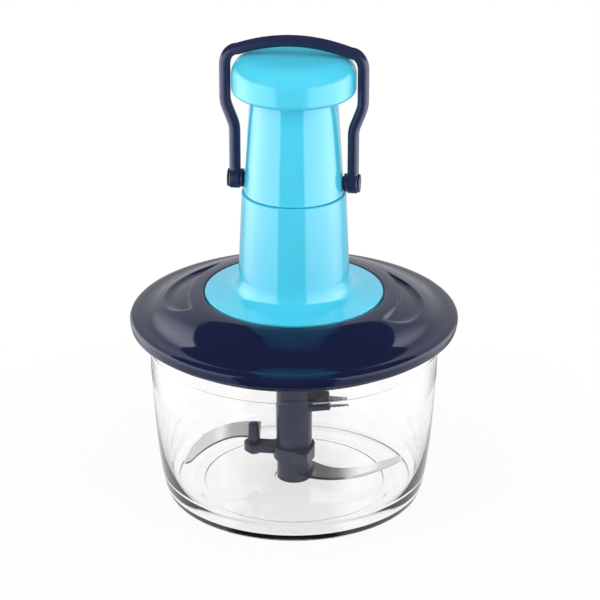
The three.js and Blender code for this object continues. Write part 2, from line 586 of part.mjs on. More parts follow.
  const lowBlade = slab(
    bladeOutline(LOW_BLADE_SHARES, LOW_BLADE_WIDTHS), LOW_BLADE_HEIGHT, BLADE_THICKNESS);
  const behindRoot = slab([
    new THREE.Vector2(LOW_BLADE_ROOT_X, -LOW_BLADE_WIDTHS[0]),
    new THREE.Vector2(LOW_BLADE_ROOT_X, LOW_BLADE_WIDTHS[0]),
    new THREE.Vector2(-LOW_BLADE_WIDTHS[0], LOW_BLADE_WIDTHS[0]),
    new THREE.Vector2(-LOW_BLADE_WIDTHS[0], -LOW_BLADE_WIDTHS[0]),
  ], LOW_BLADE_HEIGHT - CUT_OVERRUN, BLADE_THICKNESS + 2 * CUT_OVERRUN);
  const highBladeBottom = ARM_TOP + GAP;
  const highBladeTop = highBladeBottom + BLADE_THICKNESS;
  const bladePad = rod(HIGH_BLADE_PAD_RADIUS, highBladeBottom, highBladeTop, SMALL_SIDES)
    .translate(POST_X, POST_Y, 0);
  const bladeHole = rod(POST_SHANK_RADIUS + GAP, highBladeBottom - CUT_OVERRUN,
    highBladeTop + CUT_OVERRUN, TINY_SIDES).translate(POST_X, POST_Y, 0);
  const collarClear = rod(ringOuter + GAP, highBladeBottom - CUT_OVERRUN,
    highBladeTop + CUT_OVERRUN, SMALL_SIDES);
  const highBlade = toSolid(slab(bladeOutline(HIGH_BLADE_SHARES, HIGH_BLADE_WIDTHS),
    highBladeBottom, BLADE_THICKNESS))
    .add(toSolid(bladePad)).subtract(toSolid(bladeHole)).subtract(toSolid(collarClear));
  const postFoot = highBladeTop + GAP;
  const postTop = ARM_TOP + POST_HEIGHT;
  const post = turned(outline([
    [0, armBottom - POST_TAIL - GAP],
    [POST_RADIUS, armBottom - POST_TAIL - GAP],
    [POST_RADIUS, armBottom - GAP],
    [POST_SHANK_RADIUS, armBottom - GAP],
    [POST_SHANK_RADIUS, postFoot],
    [POST_RADIUS, postFoot],
    [POST_RADIUS, postTop, SHAFT_EDGE],
    [0, postTop],
  ], 2), TINY_SIDES).translate(POST_X, POST_Y, 0);
  return [
    piece('rotor_shaft', shaft, navy),
    piece('blade_arm', toGeometry(armSolid), navy),
    piece('arm_post', post, navy),
    piece('low_blade', cutGeometry(lowBlade, behindRoot), steel),
    piece('high_blade', toGeometry(highBlade), steel),
    piece('top_blade', slab(topBladeOutline(), TOP_BLADE_HEIGHT - BLADE_THICKNESS / 2, BLADE_THICKNESS)
      .rotateZ(radians(TOP_BLADE_TURN)), steel),
  ];
}

// Lid: a domed shell with a broad rim, a well for the handle, a plug that enters the bowl and a hub.
const BUSH_RADIUS = JOURNAL_RADIUS + RUNNING_GAP + BUSH_WALL;
const HUB_BORE_RADIUS = BUSH_RADIUS + GAP;

function lidTopPoints() {
  const crownRadius = THREE.MathUtils.lerp(WELL_RADIUS, PLUG_RADIUS, LID_CROWN_SHARE);
  const crown = new THREE.CubicBezierCurve(
    new THREE.Vector2(WELL_RADIUS + LID_RIM_ROUND / 2, LID_LIP_HEIGHT),
    new THREE.Vector2(crownRadius, LID_LIP_HEIGHT - LID_CROWN_DROP),
    new THREE.Vector2(
      (crownRadius + PLUG_RADIUS) / 2, (LID_LIP_HEIGHT + LID_DOME_FOOT + LID_RIM_ROUND) / 2),
    new THREE.Vector2(PLUG_RADIUS - LID_RIM_ROUND / 2, LID_DOME_FOOT),
  ).getPoints(LID_CROWN_STEPS);
  const sweep = new THREE.CubicBezierCurve(
    crown[crown.length - 1],
    new THREE.Vector2(PLUG_RADIUS + LID_RIM_ROUND, LID_DOME_FOOT - LID_RIM_ROUND),
    new THREE.Vector2(LID_RADIUS - 4 * LID_RIM_ROUND, LID_RIM_TOP + LID_RIM_ROUND / 3),
    new THREE.Vector2(LID_RADIUS - 2 * LID_RIM_ROUND, LID_RIM_TOP),
  ).getPoints(LID_SWEEP_STEPS);
  return [...crown, ...sweep.slice(1)];
}

function makeLid() {
  const hubRadius = HUB_BORE_RADIUS + HUB_WALL;
  const floorBottom = LID_FLOOR_TOP - LID_FLOOR;
  const sealBottom = PLUG_BOTTOM + SEAL_ABOVE_PLUG;
  const sealTop = sealBottom + SEAL_HEIGHT;
  const plugInner = PLUG_RADIUS - PLUG_WALL;
  const grooveRadius = PLUG_RADIUS - SEAL_DEPTH;
  const rim = outline([
    [LID_RADIUS - 2 * LID_RIM_ROUND, LID_RIM_TOP],
    [LID_RADIUS, LID_RIM_TOP - LID_RIM_ROUND / 2, LID_RIM_ROUND],
    [LID_RADIUS - LID_RIM_ROUND / 2, LID_RIM_BOTTOM, LID_RIM_ROUND / 2],
    [LID_SKIRT_RADIUS, LID_RIM_BOTTOM],
  ], 3).slice(1);
  const profile = [
    ...outline([[HUB_BORE_RADIUS, LID_FLOOR_TOP], [WELL_RADIUS, LID_FLOOR_TOP]]),
    new THREE.Vector2(WELL_RADIUS, LID_LIP_HEIGHT - LID_RIM_ROUND / 4),
    ...lidTopPoints(),
    ...rim,
    ...outline([
      [LID_SKIRT_RADIUS - LID_RIM_ROUND / 4, LID_SKIRT_BOTTOM],
      [LID_SKIRT_RADIUS - LID_SKIRT_WALL, LID_SKIRT_BOTTOM],
      [LID_SKIRT_RADIUS - LID_SKIRT_WALL, FLANGE_SEAT],
      [PLUG_RADIUS, FLANGE_SEAT],
      [PLUG_RADIUS, sealTop + GAP],
      [grooveRadius, sealTop + GAP],
      [grooveRadius, sealBottom - GAP],
      [PLUG_RADIUS, sealBottom - GAP],
      [PLUG_RADIUS, PLUG_BOTTOM],
      [plugInner, PLUG_BOTTOM],
      [plugInner, LID_DOME_FOOT - LID_WALL],
      [THREE.MathUtils.lerp(WELL_RADIUS, plugInner, 0.5), LID_FLOOR_TOP - LID_WALL],
      [WELL_RADIUS + LID_WALL, floorBottom],
      [hubRadius, floorBottom],
      [hubRadius, HUB_BOTTOM],
      [HUB_BORE_RADIUS, HUB_BOTTOM],
    ]),
  ];
  const shell = toSolid(turned(profile, BIG_SIDES));
  const holes = Array.from({ length: SCREW_COUNT }, (_, i) => {
    const angle = FULL_TURN * (i + 0.5) / SCREW_COUNT;
    return toSolid(rod(
      SCREW_RADIUS + GAP, floorBottom - CUT_OVERRUN, LID_FLOOR_TOP + CUT_OVERRUN, TINY_SIDES)
      .translate(SCREW_CIRCLE_RADIUS * Math.cos(angle), SCREW_CIRCLE_RADIUS * Math.sin(angle), 0));
  });
  const drilled = holes.reduce((left, hole) => left.subtract(hole), shell);
  const scooped = [-1, 1].reduce((left, side) => left.subtract(toSolid(scoop(side))), drilled);
  const seal = turned(outline([
    [grooveRadius + GAP, sealBottom],
    [PLUG_RADIUS, sealBottom],
    [PLUG_RADIUS + SEAL_PROUD, (sealBottom + sealTop) / 2],
    [PLUG_RADIUS, sealTop],
    [grooveRadius + GAP, sealTop],
  ]), BIG_SIDES);
  const bushBottom = HUB_BOTTOM;
  const bush = turned([
    [JOURNAL_RADIUS + RUNNING_GAP, bushBottom],
    [BUSH_RADIUS, bushBottom],
    [BUSH_RADIUS, LID_FLOOR_TOP + GAP],
    [BUSH_FLANGE_RADIUS, LID_FLOOR_TOP + GAP],
    [BUSH_FLANGE_RADIUS, LID_FLOOR_TOP + GAP + BUSH_FLANGE],
    [JOURNAL_RADIUS + RUNNING_GAP, LID_FLOOR_TOP + GAP + BUSH_FLANGE],
  ], SMALL_SIDES);
  return [
    piece('lid', toGeometry(scooped), navy),
    piece('lid_seal', seal, silicone),
    piece('drive_bush', bush, acetal),
  ];
}

// One crescent-shaped finger scoop on the lid's dome: a pocket that follows the dome's own slope,
// widest towards the front and drawn out to a point towards the back.
function scoop(side) {
  const steps = SCOOP_STEPS;
  const along = (share) => Math.PI / 2 - side * radians(SCOOP_TAIL_ANGLE + SCOOP_SWEEP_ANGLE * share);
  const edge = (shares, share) => {
    const next = Math.max(1, SCOOP_ALONG_SHARES.findIndex((s) => s >= share));
    const step = (share - SCOOP_ALONG_SHARES[next - 1])
      / (SCOOP_ALONG_SHARES[next] - SCOOP_ALONG_SHARES[next - 1]);
    return THREE.MathUtils.lerp(WELL_RADIUS, PLUG_RADIUS,
      THREE.MathUtils.lerp(shares[next - 1], shares[next], step));
  };
  const top = lidTopPoints();
  const heightAt = (r) => {
    for (let i = 1; i < top.length; i += 1) {
      if (top[i].x >= r) {
        const share = (r - top[i - 1].x) / (top[i].x - top[i - 1].x);
        return THREE.MathUtils.lerp(top[i - 1].y, top[i].y, share);
      }
    }
    return top[top.length - 1].y;
  };
  const shape = [];
  for (let i = 0; i <= steps; i += 1) {
    const r = edge(SCOOP_OUTER_SHARES, i / steps);
    shape.push([r * Math.cos(along(i / steps)), r * Math.sin(along(i / steps))]);
  }
  for (let i = steps; i >= 0; i -= 1) {
    const r = edge(SCOOP_INNER_SHARES, i / steps);
    shape.push([r * Math.cos(along(i / steps)), r * Math.sin(along(i / steps))]);
  }
  const count = shape.length;
  const positions = [];
  for (const [x, y] of shape) positions.push(x, y, heightAt(Math.hypot(x, y)) - SCOOP_DEPTH);
  for (const [x, y] of shape) positions.push(x, y, LID_LIP_HEIGHT + CUT_OVERRUN);
  const faces = [];
  for (let i = 0; i < count; i += 1) {
    const next = (i + 1) % count;
    faces.push(i, next, i + count, next, next + count, i + count);
  }
  for (let i = 0; i < steps; i += 1) {
    const [a, b, c, d] = [i, i + 1, count - 2 - i, count - 1 - i];
    faces.push(a, d, b, b, d, c);
    faces.push(a + count, b + count, d + count, b + count, c + count, d + count);
  }
  const geometry = new THREE.BufferGeometry();
  geometry.setAttribute('position', new THREE.Float32BufferAttribute(positions, 3));
  geometry.setIndex(faces);
  return geometry;
}

// Handle column: disc, flare and tube in one moulding, held to the lid's well by screws from below.
function makeColumn() {
  const flare = new THREE.CubicBezierCurve(
    new THREE.Vector2(DISC_RADIUS - 2 * DISC_EDGE_ROUND, DISC_EDGE_TOP + DISC_EDGE_ROUND / 2),
    new THREE.Vector2(FLARE_RADIUS, FLARE_HEIGHT - DISC_EDGE_ROUND),
    new THREE.Vector2(COLUMN_FOOT_RADIUS + DISC_EDGE_ROUND, FLARE_HEIGHT),
    new THREE.Vector2(COLUMN_FOOT_RADIUS, COLUMN_FOOT_HEIGHT),
  ).getPoints(6);
  const profile = [
    new THREE.Vector2(COLUMN_BORE_RADIUS, DISC_BOTTOM),
    new THREE.Vector2(DISC_RADIUS, DISC_BOTTOM),
    new THREE.Vector2(DISC_RADIUS, DISC_EDGE_TOP - DISC_EDGE_ROUND),
    new THREE.Vector2(DISC_RADIUS - DISC_EDGE_ROUND / 2, DISC_EDGE_TOP),
    ...flare,
    ...outline([
      [COLUMN_FOOT_RADIUS, COLUMN_FOOT_HEIGHT],
      [COLUMN_TOP_RADIUS, COLUMN_TOP, COLUMN_RIM_ROUND],
      [NECK_RADIUS, COLUMN_TOP, COLUMN_RIM_ROUND / 2],
      [NECK_RADIUS, NECK_BOTTOM],
      [COLUMN_BORE_RADIUS, NECK_BOTTOM - (COLUMN_BORE_RADIUS - NECK_RADIUS)],
    ], 3).slice(1),
  ];
  const ribs = [1, -1].map((side) => toSolid(new THREE.BoxGeometry(
    GUIDE_RIB_WIDTH, GUIDE_RIB_DEPTH, NECK_BOTTOM - DISC_BOTTOM)
    .translate(0, side * (COLUMN_BORE_RADIUS + COLUMN_WALL / 2 - GUIDE_RIB_DEPTH / 2),
      (NECK_BOTTOM + DISC_BOTTOM) / 2)));
  const holeTop = LID_FLOOR_TOP + SCREW_BITE + GAP;
  const holes = screwPlaces().map(([x, y]) => toSolid(
    rod(SCREW_RADIUS + GAP, DISC_BOTTOM - CUT_OVERRUN, holeTop + GAP, TINY_SIDES).translate(x, y, 0)));
  const ribbed = ribs.reduce((left, rib) => left.add(rib), toSolid(turned(profile, COLUMN_SIDES)));
  const drilled = holes.reduce((left, hole) => left.subtract(hole), ribbed);
  const headTop = LID_FLOOR_TOP - LID_FLOOR - GAP;
  const screws = screwPlaces().map(([x, y]) => toSolid(turned([
    [0, headTop - SCREW_HEAD_HEIGHT],
    [SCREW_HEAD_RADIUS, headTop - SCREW_HEAD_HEIGHT],
    [SCREW_HEAD_RADIUS, headTop],
    [SCREW_RADIUS, headTop],
    [SCREW_RADIUS, holeTop],
    [0, holeTop],
  ], TINY_SIDES).translate(x, y, 0)));
  return [
    piece('handle_column', toGeometry(drilled), turquoise),
    ...screws.map((screw, i) => piece(`column_screw_${i + 1}`, toGeometry(screw), darkSteel)),
  ];
}

function screwPlaces() {
  return Array.from({ length: SCREW_COUNT }, (_, i) => {
    const angle = FULL_TURN * (i + 0.5) / SCREW_COUNT;
    return [SCREW_CIRCLE_RADIUS * Math.cos(angle), SCREW_CIRCLE_RADIUS * Math.sin(angle)];
  });
}

// Plunger: the sleeve slides in the column, its foot stopping under the column's neck.
function makePlunger() {
  const topInner = SLEEVE_TOP_RADIUS - SLEEVE_WALL;
  const lowInner = SLEEVE_RADIUS - SLEEVE_WALL;
  const webTop = SLEEVE_WEB_HEIGHT + SLEEVE_WEB;
  const nutHole = NUT_RADIUS + GAP;
  const neckShare = (height) => (height - SLEEVE_SHOULDER) / (SLEEVE_TOP - SLEEVE_SHOULDER);
  const innerTop = SLEEVE_TOP - SLEEVE_WEB;
  const topWebHole = HEAD_SCREW_RADIUS + GAP;
  const profile = outline([
    [nutHole, SLEEVE_WEB_HEIGHT],
    [lowInner, SLEEVE_WEB_HEIGHT],
    [lowInner, SLEEVE_BOTTOM],
    [FOOT_RADIUS, SLEEVE_BOTTOM],
    [FOOT_RADIUS, SLEEVE_BOTTOM + SLEEVE_FOOT_HEIGHT],
    [SLEEVE_RADIUS, SLEEVE_BOTTOM + SLEEVE_FOOT_HEIGHT],
    [SLEEVE_RADIUS, SLEEVE_SHOULDER],
    [SHOULDER_RADIUS, SLEEVE_SHOULDER, SLEEVE_SHOULDER_ROUND],
    [SLEEVE_TOP_RADIUS, SLEEVE_TOP],
    [topWebHole, SLEEVE_TOP],
    [topWebHole, innerTop],
    [THREE.MathUtils.lerp(lowInner, topInner, neckShare(innerTop)), innerTop],
    [lowInner, SLEEVE_SHOULDER],
    [lowInner, webTop],
    [nutHole, webTop],
  ]);
  const notches = [1, -1].map((side) => new THREE.BoxGeometry(
    GUIDE_RIB_WIDTH + 2 * GAP, GUIDE_RIB_DEPTH * 2, SLEEVE_FOOT_HEIGHT + CUT_OVERRUN)
    .translate(0, side * (COLUMN_BORE_RADIUS + COLUMN_WALL / 2 - GAP),
      SLEEVE_BOTTOM + SLEEVE_FOOT_HEIGHT / 2));
  const stemHole = crossRod(PIVOT_STEM_RADIUS + GAP, -SHOULDER_RADIUS - CUT_OVERRUN,
    SHOULDER_RADIUS + CUT_OVERRUN, PIVOT_HEIGHT, TINY_SIDES);
  const nutScrewPlaces = [1, -1].map((side) => side * NUT_SCREW_CIRCLE_RADIUS);
  const nutScrewHoles = nutScrewPlaces.map((x) => rod(NUT_SCREW_RADIUS + GAP,
    webTop - NUT_SCREW_BITE - GAP, webTop + CUT_OVERRUN, TINY_SIDES).translate(x, 0, 0));
  const sleeve = cutGeometry(turned(profile, COLUMN_SIDES), ...notches, stemHole, ...nutScrewHoles);

  const headInner = HEAD_RADIUS - HEAD_WALL;
  const roof = HEAD_TOP - HEAD_WALL;
  const plateTop = HEAD_BOTTOM + HEAD_PLATE;
  const bossBottom = SLEEVE_TOP + GAP + HEAD_PLATE + GAP;
  const head = turned(outline([
    [HEAD_SCREW_RADIUS + GAP, bossBottom],
    [HEAD_BOSS_RADIUS, bossBottom],
    [HEAD_BOSS_RADIUS, roof],
    [headInner, roof, HEAD_TOP_ROUND - HEAD_WALL],
    [headInner, HEAD_BOTTOM + HEAD_BOTTOM_ROUND / 2],
    [HEAD_RADIUS, HEAD_BOTTOM, HEAD_BOTTOM_ROUND / 2],
    [HEAD_RADIUS, HEAD_TOP, HEAD_TOP_ROUND],
    [HEAD_RADIUS * HEAD_CROWN_SHARE, HEAD_TOP + HEAD_CROWN * HEAD_CROWN_SHARE],
    [0, HEAD_TOP + HEAD_CROWN],
    [0, SLEEVE_TOP + HEAD_SCREW_BITE + GAP],
    [HEAD_SCREW_RADIUS + GAP, SLEEVE_TOP + HEAD_SCREW_BITE + GAP],
  ], 4), COLUMN_SIDES);
  const plate = ring(HEAD_SCREW_RADIUS + GAP, headInner - GAP, SLEEVE_TOP + GAP, plateTop, COLUMN_SIDES);
  const headScrewTop = innerTop - GAP;
  const headScrew = turned([
    [0, headScrewTop - HEAD_SCREW_HEAD_HEIGHT],
    [HEAD_SCREW_HEAD_RADIUS, headScrewTop - HEAD_SCREW_HEAD_HEIGHT],
    [HEAD_SCREW_HEAD_RADIUS, headScrewTop],
    [HEAD_SCREW_RADIUS, headScrewTop],
    [HEAD_SCREW_RADIUS, SLEEVE_TOP + HEAD_SCREW_BITE],
    [0, SLEEVE_TOP + HEAD_SCREW_BITE],
  ], TINY_SIDES);

  const nutBottom = SLEEVE_WEB_HEIGHT - (NUT_HEIGHT - SLEEVE_WEB) / 2;
  const flangeBottom = webTop + GAP;
  const flangeTop = flangeBottom + NUT_FLANGE;
  const nutBody = turned([
    [0, nutBottom],
    [NUT_RADIUS, nutBottom],
    [NUT_RADIUS, flangeBottom],
    [NUT_FLANGE_RADIUS, flangeBottom],
    [NUT_FLANGE_RADIUS, flangeTop],
    [0, flangeTop],
  ], SMALL_SIDES);
  const nutBore = twisted(THREAD_RADIUS + RUNNING_GAP, THREAD_DEPTH,
    nutBottom - CUT_OVERRUN, flangeTop + CUT_OVERRUN);
  const nutHoles = nutScrewPlaces.map((x) => rod(NUT_SCREW_RADIUS + GAP,
    flangeBottom - CUT_OVERRUN, flangeTop + CUT_OVERRUN, TINY_SIDES).translate(x, 0, 0));
  const nutScrewHeadBottom = flangeTop + GAP;
  const nutScrews = nutScrewPlaces.map((x, i) => piece(`nut_screw_${i + 1}`, turned([
    [0, webTop - NUT_SCREW_BITE],
    [NUT_SCREW_RADIUS, webTop - NUT_SCREW_BITE],
    [NUT_SCREW_RADIUS, nutScrewHeadBottom],
    [NUT_SCREW_HEAD_RADIUS, nutScrewHeadBottom],
    [NUT_SCREW_HEAD_RADIUS, nutScrewHeadBottom + NUT_SCREW_HEAD_HEIGHT],
    [0, nutScrewHeadBottom + NUT_SCREW_HEAD_HEIGHT],
  ], TINY_SIDES).translate(x, 0, 0), darkSteel));
  return [
    piece('plunger_sleeve', sleeve, turquoise),
    piece('head_cap', head, turquoise),
    piece('head_plate', plate, turquoise),
    piece('head_screw', headScrew, darkSteel),
    piece('drive_nut', cutGeometry(nutBody, nutBore, ...nutHoles), acetal),
    ...nutScrews,
  ];
}

// Drive: the twisted screw turns in the lid's bush, and its dog enters the rotor's socket.
const FLANGE_BOTTOM = LID_FLOOR_TOP + GAP + BUSH_FLANGE + GAP;
const THREAD_BOTTOM = FLANGE_BOTTOM + JOURNAL_FLANGE;

function makeDrive() {
  const threadTop = SLEEVE_WEB_HEIGHT + SLEEVE_WEB + NUT_FLANGE + STROKE + THREAD_SPARE;
  const journalBottom = HUB_BOTTOM - GAP;
  const journal = turned([
    [0, journalBottom],
    [JOURNAL_RADIUS, journalBottom],
    [JOURNAL_RADIUS, FLANGE_BOTTOM],
    [JOURNAL_FLANGE_RADIUS, FLANGE_BOTTOM],
    [JOURNAL_FLANGE_RADIUS, THREAD_BOTTOM],
    [0, THREAD_BOTTOM],
  ], SMALL_SIDES);
  const thread = twisted(THREAD_RADIUS, THREAD_DEPTH, THREAD_BOTTOM - JOURNAL_FLANGE / 2, threadTop);
  const stubHole = rod(DOG_STUB_RADIUS + GAP, journalBottom - CUT_OVERRUN,
    journalBottom + DOG_STUB_LENGTH + GAP, TINY_SIDES);
  const screw = toSolid(journal).add(toSolid(thread)).subtract(toSolid(stubHole));
  const dogFlangeTop = journalBottom - GAP;
  const dogFlangeBottom = dogFlangeTop - DOG_FLANGE;
  const dog = toSolid(rod(DOG_RADIUS, SHAFT_TOP - DOG_LENGTH, dogFlangeBottom + DOG_FLANGE / 2, DOG_SIDES))
    .add(toSolid(rod(DOG_FLANGE_RADIUS, dogFlangeBottom, dogFlangeTop, SMALL_SIDES)))
    .add(toSolid(rod(DOG_STUB_RADIUS, dogFlangeBottom + DOG_FLANGE / 2,
      journalBottom + DOG_STUB_LENGTH, TINY_SIDES)));
  return [
    piece('drive_screw', toGeometry(screw), darkSteel),
    piece('drive_dog', toGeometry(dog), navy),
  ];
}

class Helix extends THREE.Curve {
  constructor(radius, bottom, top, turns) {
    super();
    Object.assign(this, { radius, bottom, top, turns });
  }

  getPoint(share, target = new THREE.Vector3()) {
    const angle = FULL_TURN * this.turns * share;
    const height = THREE.MathUtils.lerp(this.bottom, this.top, share);
    return target.set(this.radius * Math.cos(angle), this.radius * Math.sin(angle), height);
  }
}

function makeSpring() {
  const bottom = LID_FLOOR_TOP + GAP + SPRING_WIRE_RADIUS;
  const top = SLEEVE_WEB_HEIGHT - GAP - SPRING_WIRE_RADIUS;
  const section = new THREE.Shape(Array.from({ length: SPRING_WIRE_SIDES }, (_, i) => {
    const angle = FULL_TURN * i / SPRING_WIRE_SIDES;
    return new THREE.Vector2(Math.cos(angle), Math.sin(angle)).multiplyScalar(SPRING_WIRE_RADIUS);
  }));
  const wire = new THREE.ExtrudeGeometry(section, {
    steps: SPRING_TURNS * SPRING_STEPS_PER_TURN,
    extrudePath: new Helix(SPRING_RADIUS, bottom, top, SPRING_TURNS),
    bevelEnabled: false,
  });
  return piece('return_spring', wire, darkSteel);
}

// Loop: one moulded bar with jogged legs, its knuckles turning on pins held in bosses on the sleeve.
function makeBail() {
  const corner = (x, z) => new THREE.Vector3(x, 0, z);
  const path = new THREE.CurvePath();
  const leg = [
    [BAIL_LOW_X, PIVOT_HEIGHT],
    [BAIL_LOW_X, BAIL_JOG_START],
    [BAIL_HIGH_X, BAIL_JOG_END],
    [BAIL_HIGH_X, BAIL_SHOULDER],
  ];
  const bend = (BAIL_JOG_END - BAIL_JOG_START) / 3;
  const spots = outline([
    [-BAIL_LOW_X, PIVOT_HEIGHT],
    [-BAIL_LOW_X, BAIL_JOG_START, bend],
    [-BAIL_HIGH_X, BAIL_JOG_END, bend],
    [-BAIL_HIGH_X, BAIL_SHOULDER],
  ], 4);
  const side = spots.map((p) => corner(p.x, p.y));
  for (let i = 1; i < side.length; i += 1) path.add(new THREE.LineCurve3(side[i - 1], side[i]));
  path.add(new THREE.CubicBezierCurve3(
    corner(-leg[3][0], leg[3][1]),
    corner(-leg[3][0], (BAIL_SHOULDER + BAIL_CORNER_HEIGHT) / 2 + BAIL_WIDTH / 3),
    corner(-BAIL_CORNER_X - BAIL_WIDTH / 2, BAIL_CORNER_HEIGHT),
    corner(-BAIL_CORNER_X, BAIL_CORNER_HEIGHT)));
  path.add(new THREE.QuadraticBezierCurve3(
    corner(-BAIL_CORNER_X, BAIL_CORNER_HEIGHT),
    corner(0, 2 * BAIL_TOP - BAIL_CORNER_HEIGHT),
    corner(BAIL_CORNER_X, BAIL_CORNER_HEIGHT)));
  path.add(new THREE.CubicBezierCurve3(
    corner(BAIL_CORNER_X, BAIL_CORNER_HEIGHT),
    corner(BAIL_CORNER_X + BAIL_WIDTH / 2, BAIL_CORNER_HEIGHT),
    corner(leg[3][0], (BAIL_SHOULDER + BAIL_CORNER_HEIGHT) / 2 + BAIL_WIDTH / 3),
    corner(leg[3][0], leg[3][1])));
  const other = side.map((p) => corner(-p.x, p.z)).reverse();
  for (let i = 1; i < other.length; i += 1) path.add(new THREE.LineCurve3(other[i - 1], other[i]));
  const half = BAIL_WIDTH / 2;
  const section = new THREE.Shape(outline([
    [half, half, BAIL_EDGE], [-half, half, BAIL_EDGE], [-half, -half, BAIL_EDGE], [half, -half, BAIL_EDGE],
  ], 1));
  const bar = new THREE.ExtrudeGeometry(section, {
    steps: BAIL_STEPS, extrudePath: path, bevelEnabled: false,
  });
  const knuckleOuter = KNUCKLE_INNER_X + KNUCKLE_WIDTH;
  let loop = toSolid(bar);
  for (const side2 of [1, -1]) {
    const ends = [side2 * KNUCKLE_INNER_X, side2 * knuckleOuter].sort((a, b) => a - b);
    loop = loop.add(toSolid(crossRod(KNUCKLE_RADIUS, ends[0], ends[1], PIVOT_HEIGHT, SMALL_SIDES)));
  }
  loop = loop.subtract(toSolid(crossRod(PIVOT_PIN_RADIUS + RUNNING_GAP, -knuckleOuter - CUT_OVERRUN,
    knuckleOuter + CUT_OVERRUN, PIVOT_HEIGHT, TINY_SIDES)));
  return [piece('swing_loop', toGeometry(loop), navy)];
}

function makePivots() {
  const knuckleOuter = KNUCKLE_INNER_X + KNUCKLE_WIDTH;
  const bossEnd = KNUCKLE_INNER_X - GAP;
  const stemEnd = SLEEVE_RADIUS - SLEEVE_WALL - GAP;
  const around = toSolid(rod(SHOULDER_RADIUS + GAP, PIVOT_HEIGHT - 2 * PIVOT_BOSS_RADIUS,
    PIVOT_HEIGHT + 2 * PIVOT_BOSS_RADIUS, COLUMN_SIDES));
  const headStart = knuckleOuter + GAP;
  const boss = toSolid(crossRod(PIVOT_BOSS_RADIUS, stemEnd, bossEnd, PIVOT_HEIGHT, SMALL_SIDES))
    .subtract(around)
    .add(toSolid(crossRod(PIVOT_STEM_RADIUS, stemEnd, bossEnd, PIVOT_HEIGHT, TINY_SIDES)))
    .subtract(toSolid(crossRod(PIVOT_PIN_RADIUS + GAP, stemEnd + GAP, bossEnd + CUT_OVERRUN,
      PIVOT_HEIGHT, TINY_SIDES)));
  const pin = toSolid(crossRod(PIVOT_PIN_RADIUS, stemEnd + 2 * GAP, headStart + PIVOT_HEAD / 2,
    PIVOT_HEIGHT, TINY_SIDES))
    .add(toSolid(crossRod(PIVOT_HEAD_RADIUS, headStart, headStart + PIVOT_HEAD, PIVOT_HEIGHT, SMALL_SIDES)));
  const pieces = [];
  for (const [side, word] of [[1, 'right'], [-1, 'left']]) {
    for (const [name, solid] of [['pivot_boss', boss], ['pivot_pin', pin]]) {
      const turnedRound = toGeometry(solid).rotateZ(side > 0 ? 0 : Math.PI);
      pieces.push(piece(`${name}_${word}`, turnedRound, navy));
    }
  }
  return pieces;
}

const chopper = new THREE.Group();
chopper.add(
  ...makeBowl(),
  ...makeRotor(),
  ...makeLid(),
  ...makeColumn(),
  ...makePlunger(),
  ...makeDrive(),
  makeSpring(),
  ...makeBail(),
  ...makePivots(),
);

export default chopper;
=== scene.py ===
"""Press-down food chopper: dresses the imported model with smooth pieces, real finishes and a studio."""

import json
from math import acos, pi, radians, sin, sqrt, tan

import bmesh
import bpy
from bpy.props import FloatProperty, IntProperty, PointerProperty, StringProperty
from mathutils import Matrix, Vector
from mathutils.geometry import interpolate_bezier


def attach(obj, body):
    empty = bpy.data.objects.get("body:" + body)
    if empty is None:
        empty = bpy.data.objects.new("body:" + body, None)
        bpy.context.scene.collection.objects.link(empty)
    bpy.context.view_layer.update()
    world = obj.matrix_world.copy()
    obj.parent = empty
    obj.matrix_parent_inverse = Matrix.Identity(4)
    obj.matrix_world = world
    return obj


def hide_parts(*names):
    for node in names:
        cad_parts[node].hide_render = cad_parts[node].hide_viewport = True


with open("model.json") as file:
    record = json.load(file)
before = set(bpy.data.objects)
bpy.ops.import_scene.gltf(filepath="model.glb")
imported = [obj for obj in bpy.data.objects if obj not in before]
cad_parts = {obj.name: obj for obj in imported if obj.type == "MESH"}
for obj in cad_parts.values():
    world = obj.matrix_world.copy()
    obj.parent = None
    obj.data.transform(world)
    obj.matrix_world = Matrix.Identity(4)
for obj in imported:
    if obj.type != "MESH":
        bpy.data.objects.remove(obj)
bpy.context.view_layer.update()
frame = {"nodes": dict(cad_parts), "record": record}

bl_info = {
    "name": "Press-down Chopper",
    "version": (1, 0, 0),
    "blender": (4, 5, 0),
    "location": "View3D > Sidebar > Chopper",
    "description": "Builds a press-down food chopper piece by piece, with its finishes and a studio",
    "category": "Add Mesh",
}

MM = 0.001
FULL_TURN = 2 * pi


# Sizes and colours that a user would change.

class ChopperBowlSizes(bpy.types.PropertyGroup):
    """The clear bowl."""
    height: FloatProperty(
        name="Height", description="Bowl height to the rim", default=100 * MM, unit="LENGTH")
    foot_radius: FloatProperty(
        name="Foot radius", description="Where the wall leaves the foot", default=72 * MM, unit="LENGTH")
    shoulder_radius: FloatProperty(
        name="Shoulder radius", description="Pull of the wall's curve", default=77.8 * MM, unit="LENGTH")
    top_radius: FloatProperty(
        name="Top radius", description="Outer radius below the rim band", default=79.6 * MM, unit="LENGTH")
    wall: FloatProperty(name="Wall", description="Wall thickness", default=2.4 * MM, unit="LENGTH")
    floor: FloatProperty(name="Floor", description="Floor thickness", default=2.4 * MM, unit="LENGTH")
    band_height: FloatProperty(
        name="Rim band height", description="Height of the proud band", default=13 * MM, unit="LENGTH")
    band_proud: FloatProperty(
        name="Rim band step", description="How far the band stands out", default=0.7 * MM, unit="LENGTH")
    colour: StringProperty(name="Colour", description="Tint of the clear moulding", default="#FFFFFF")


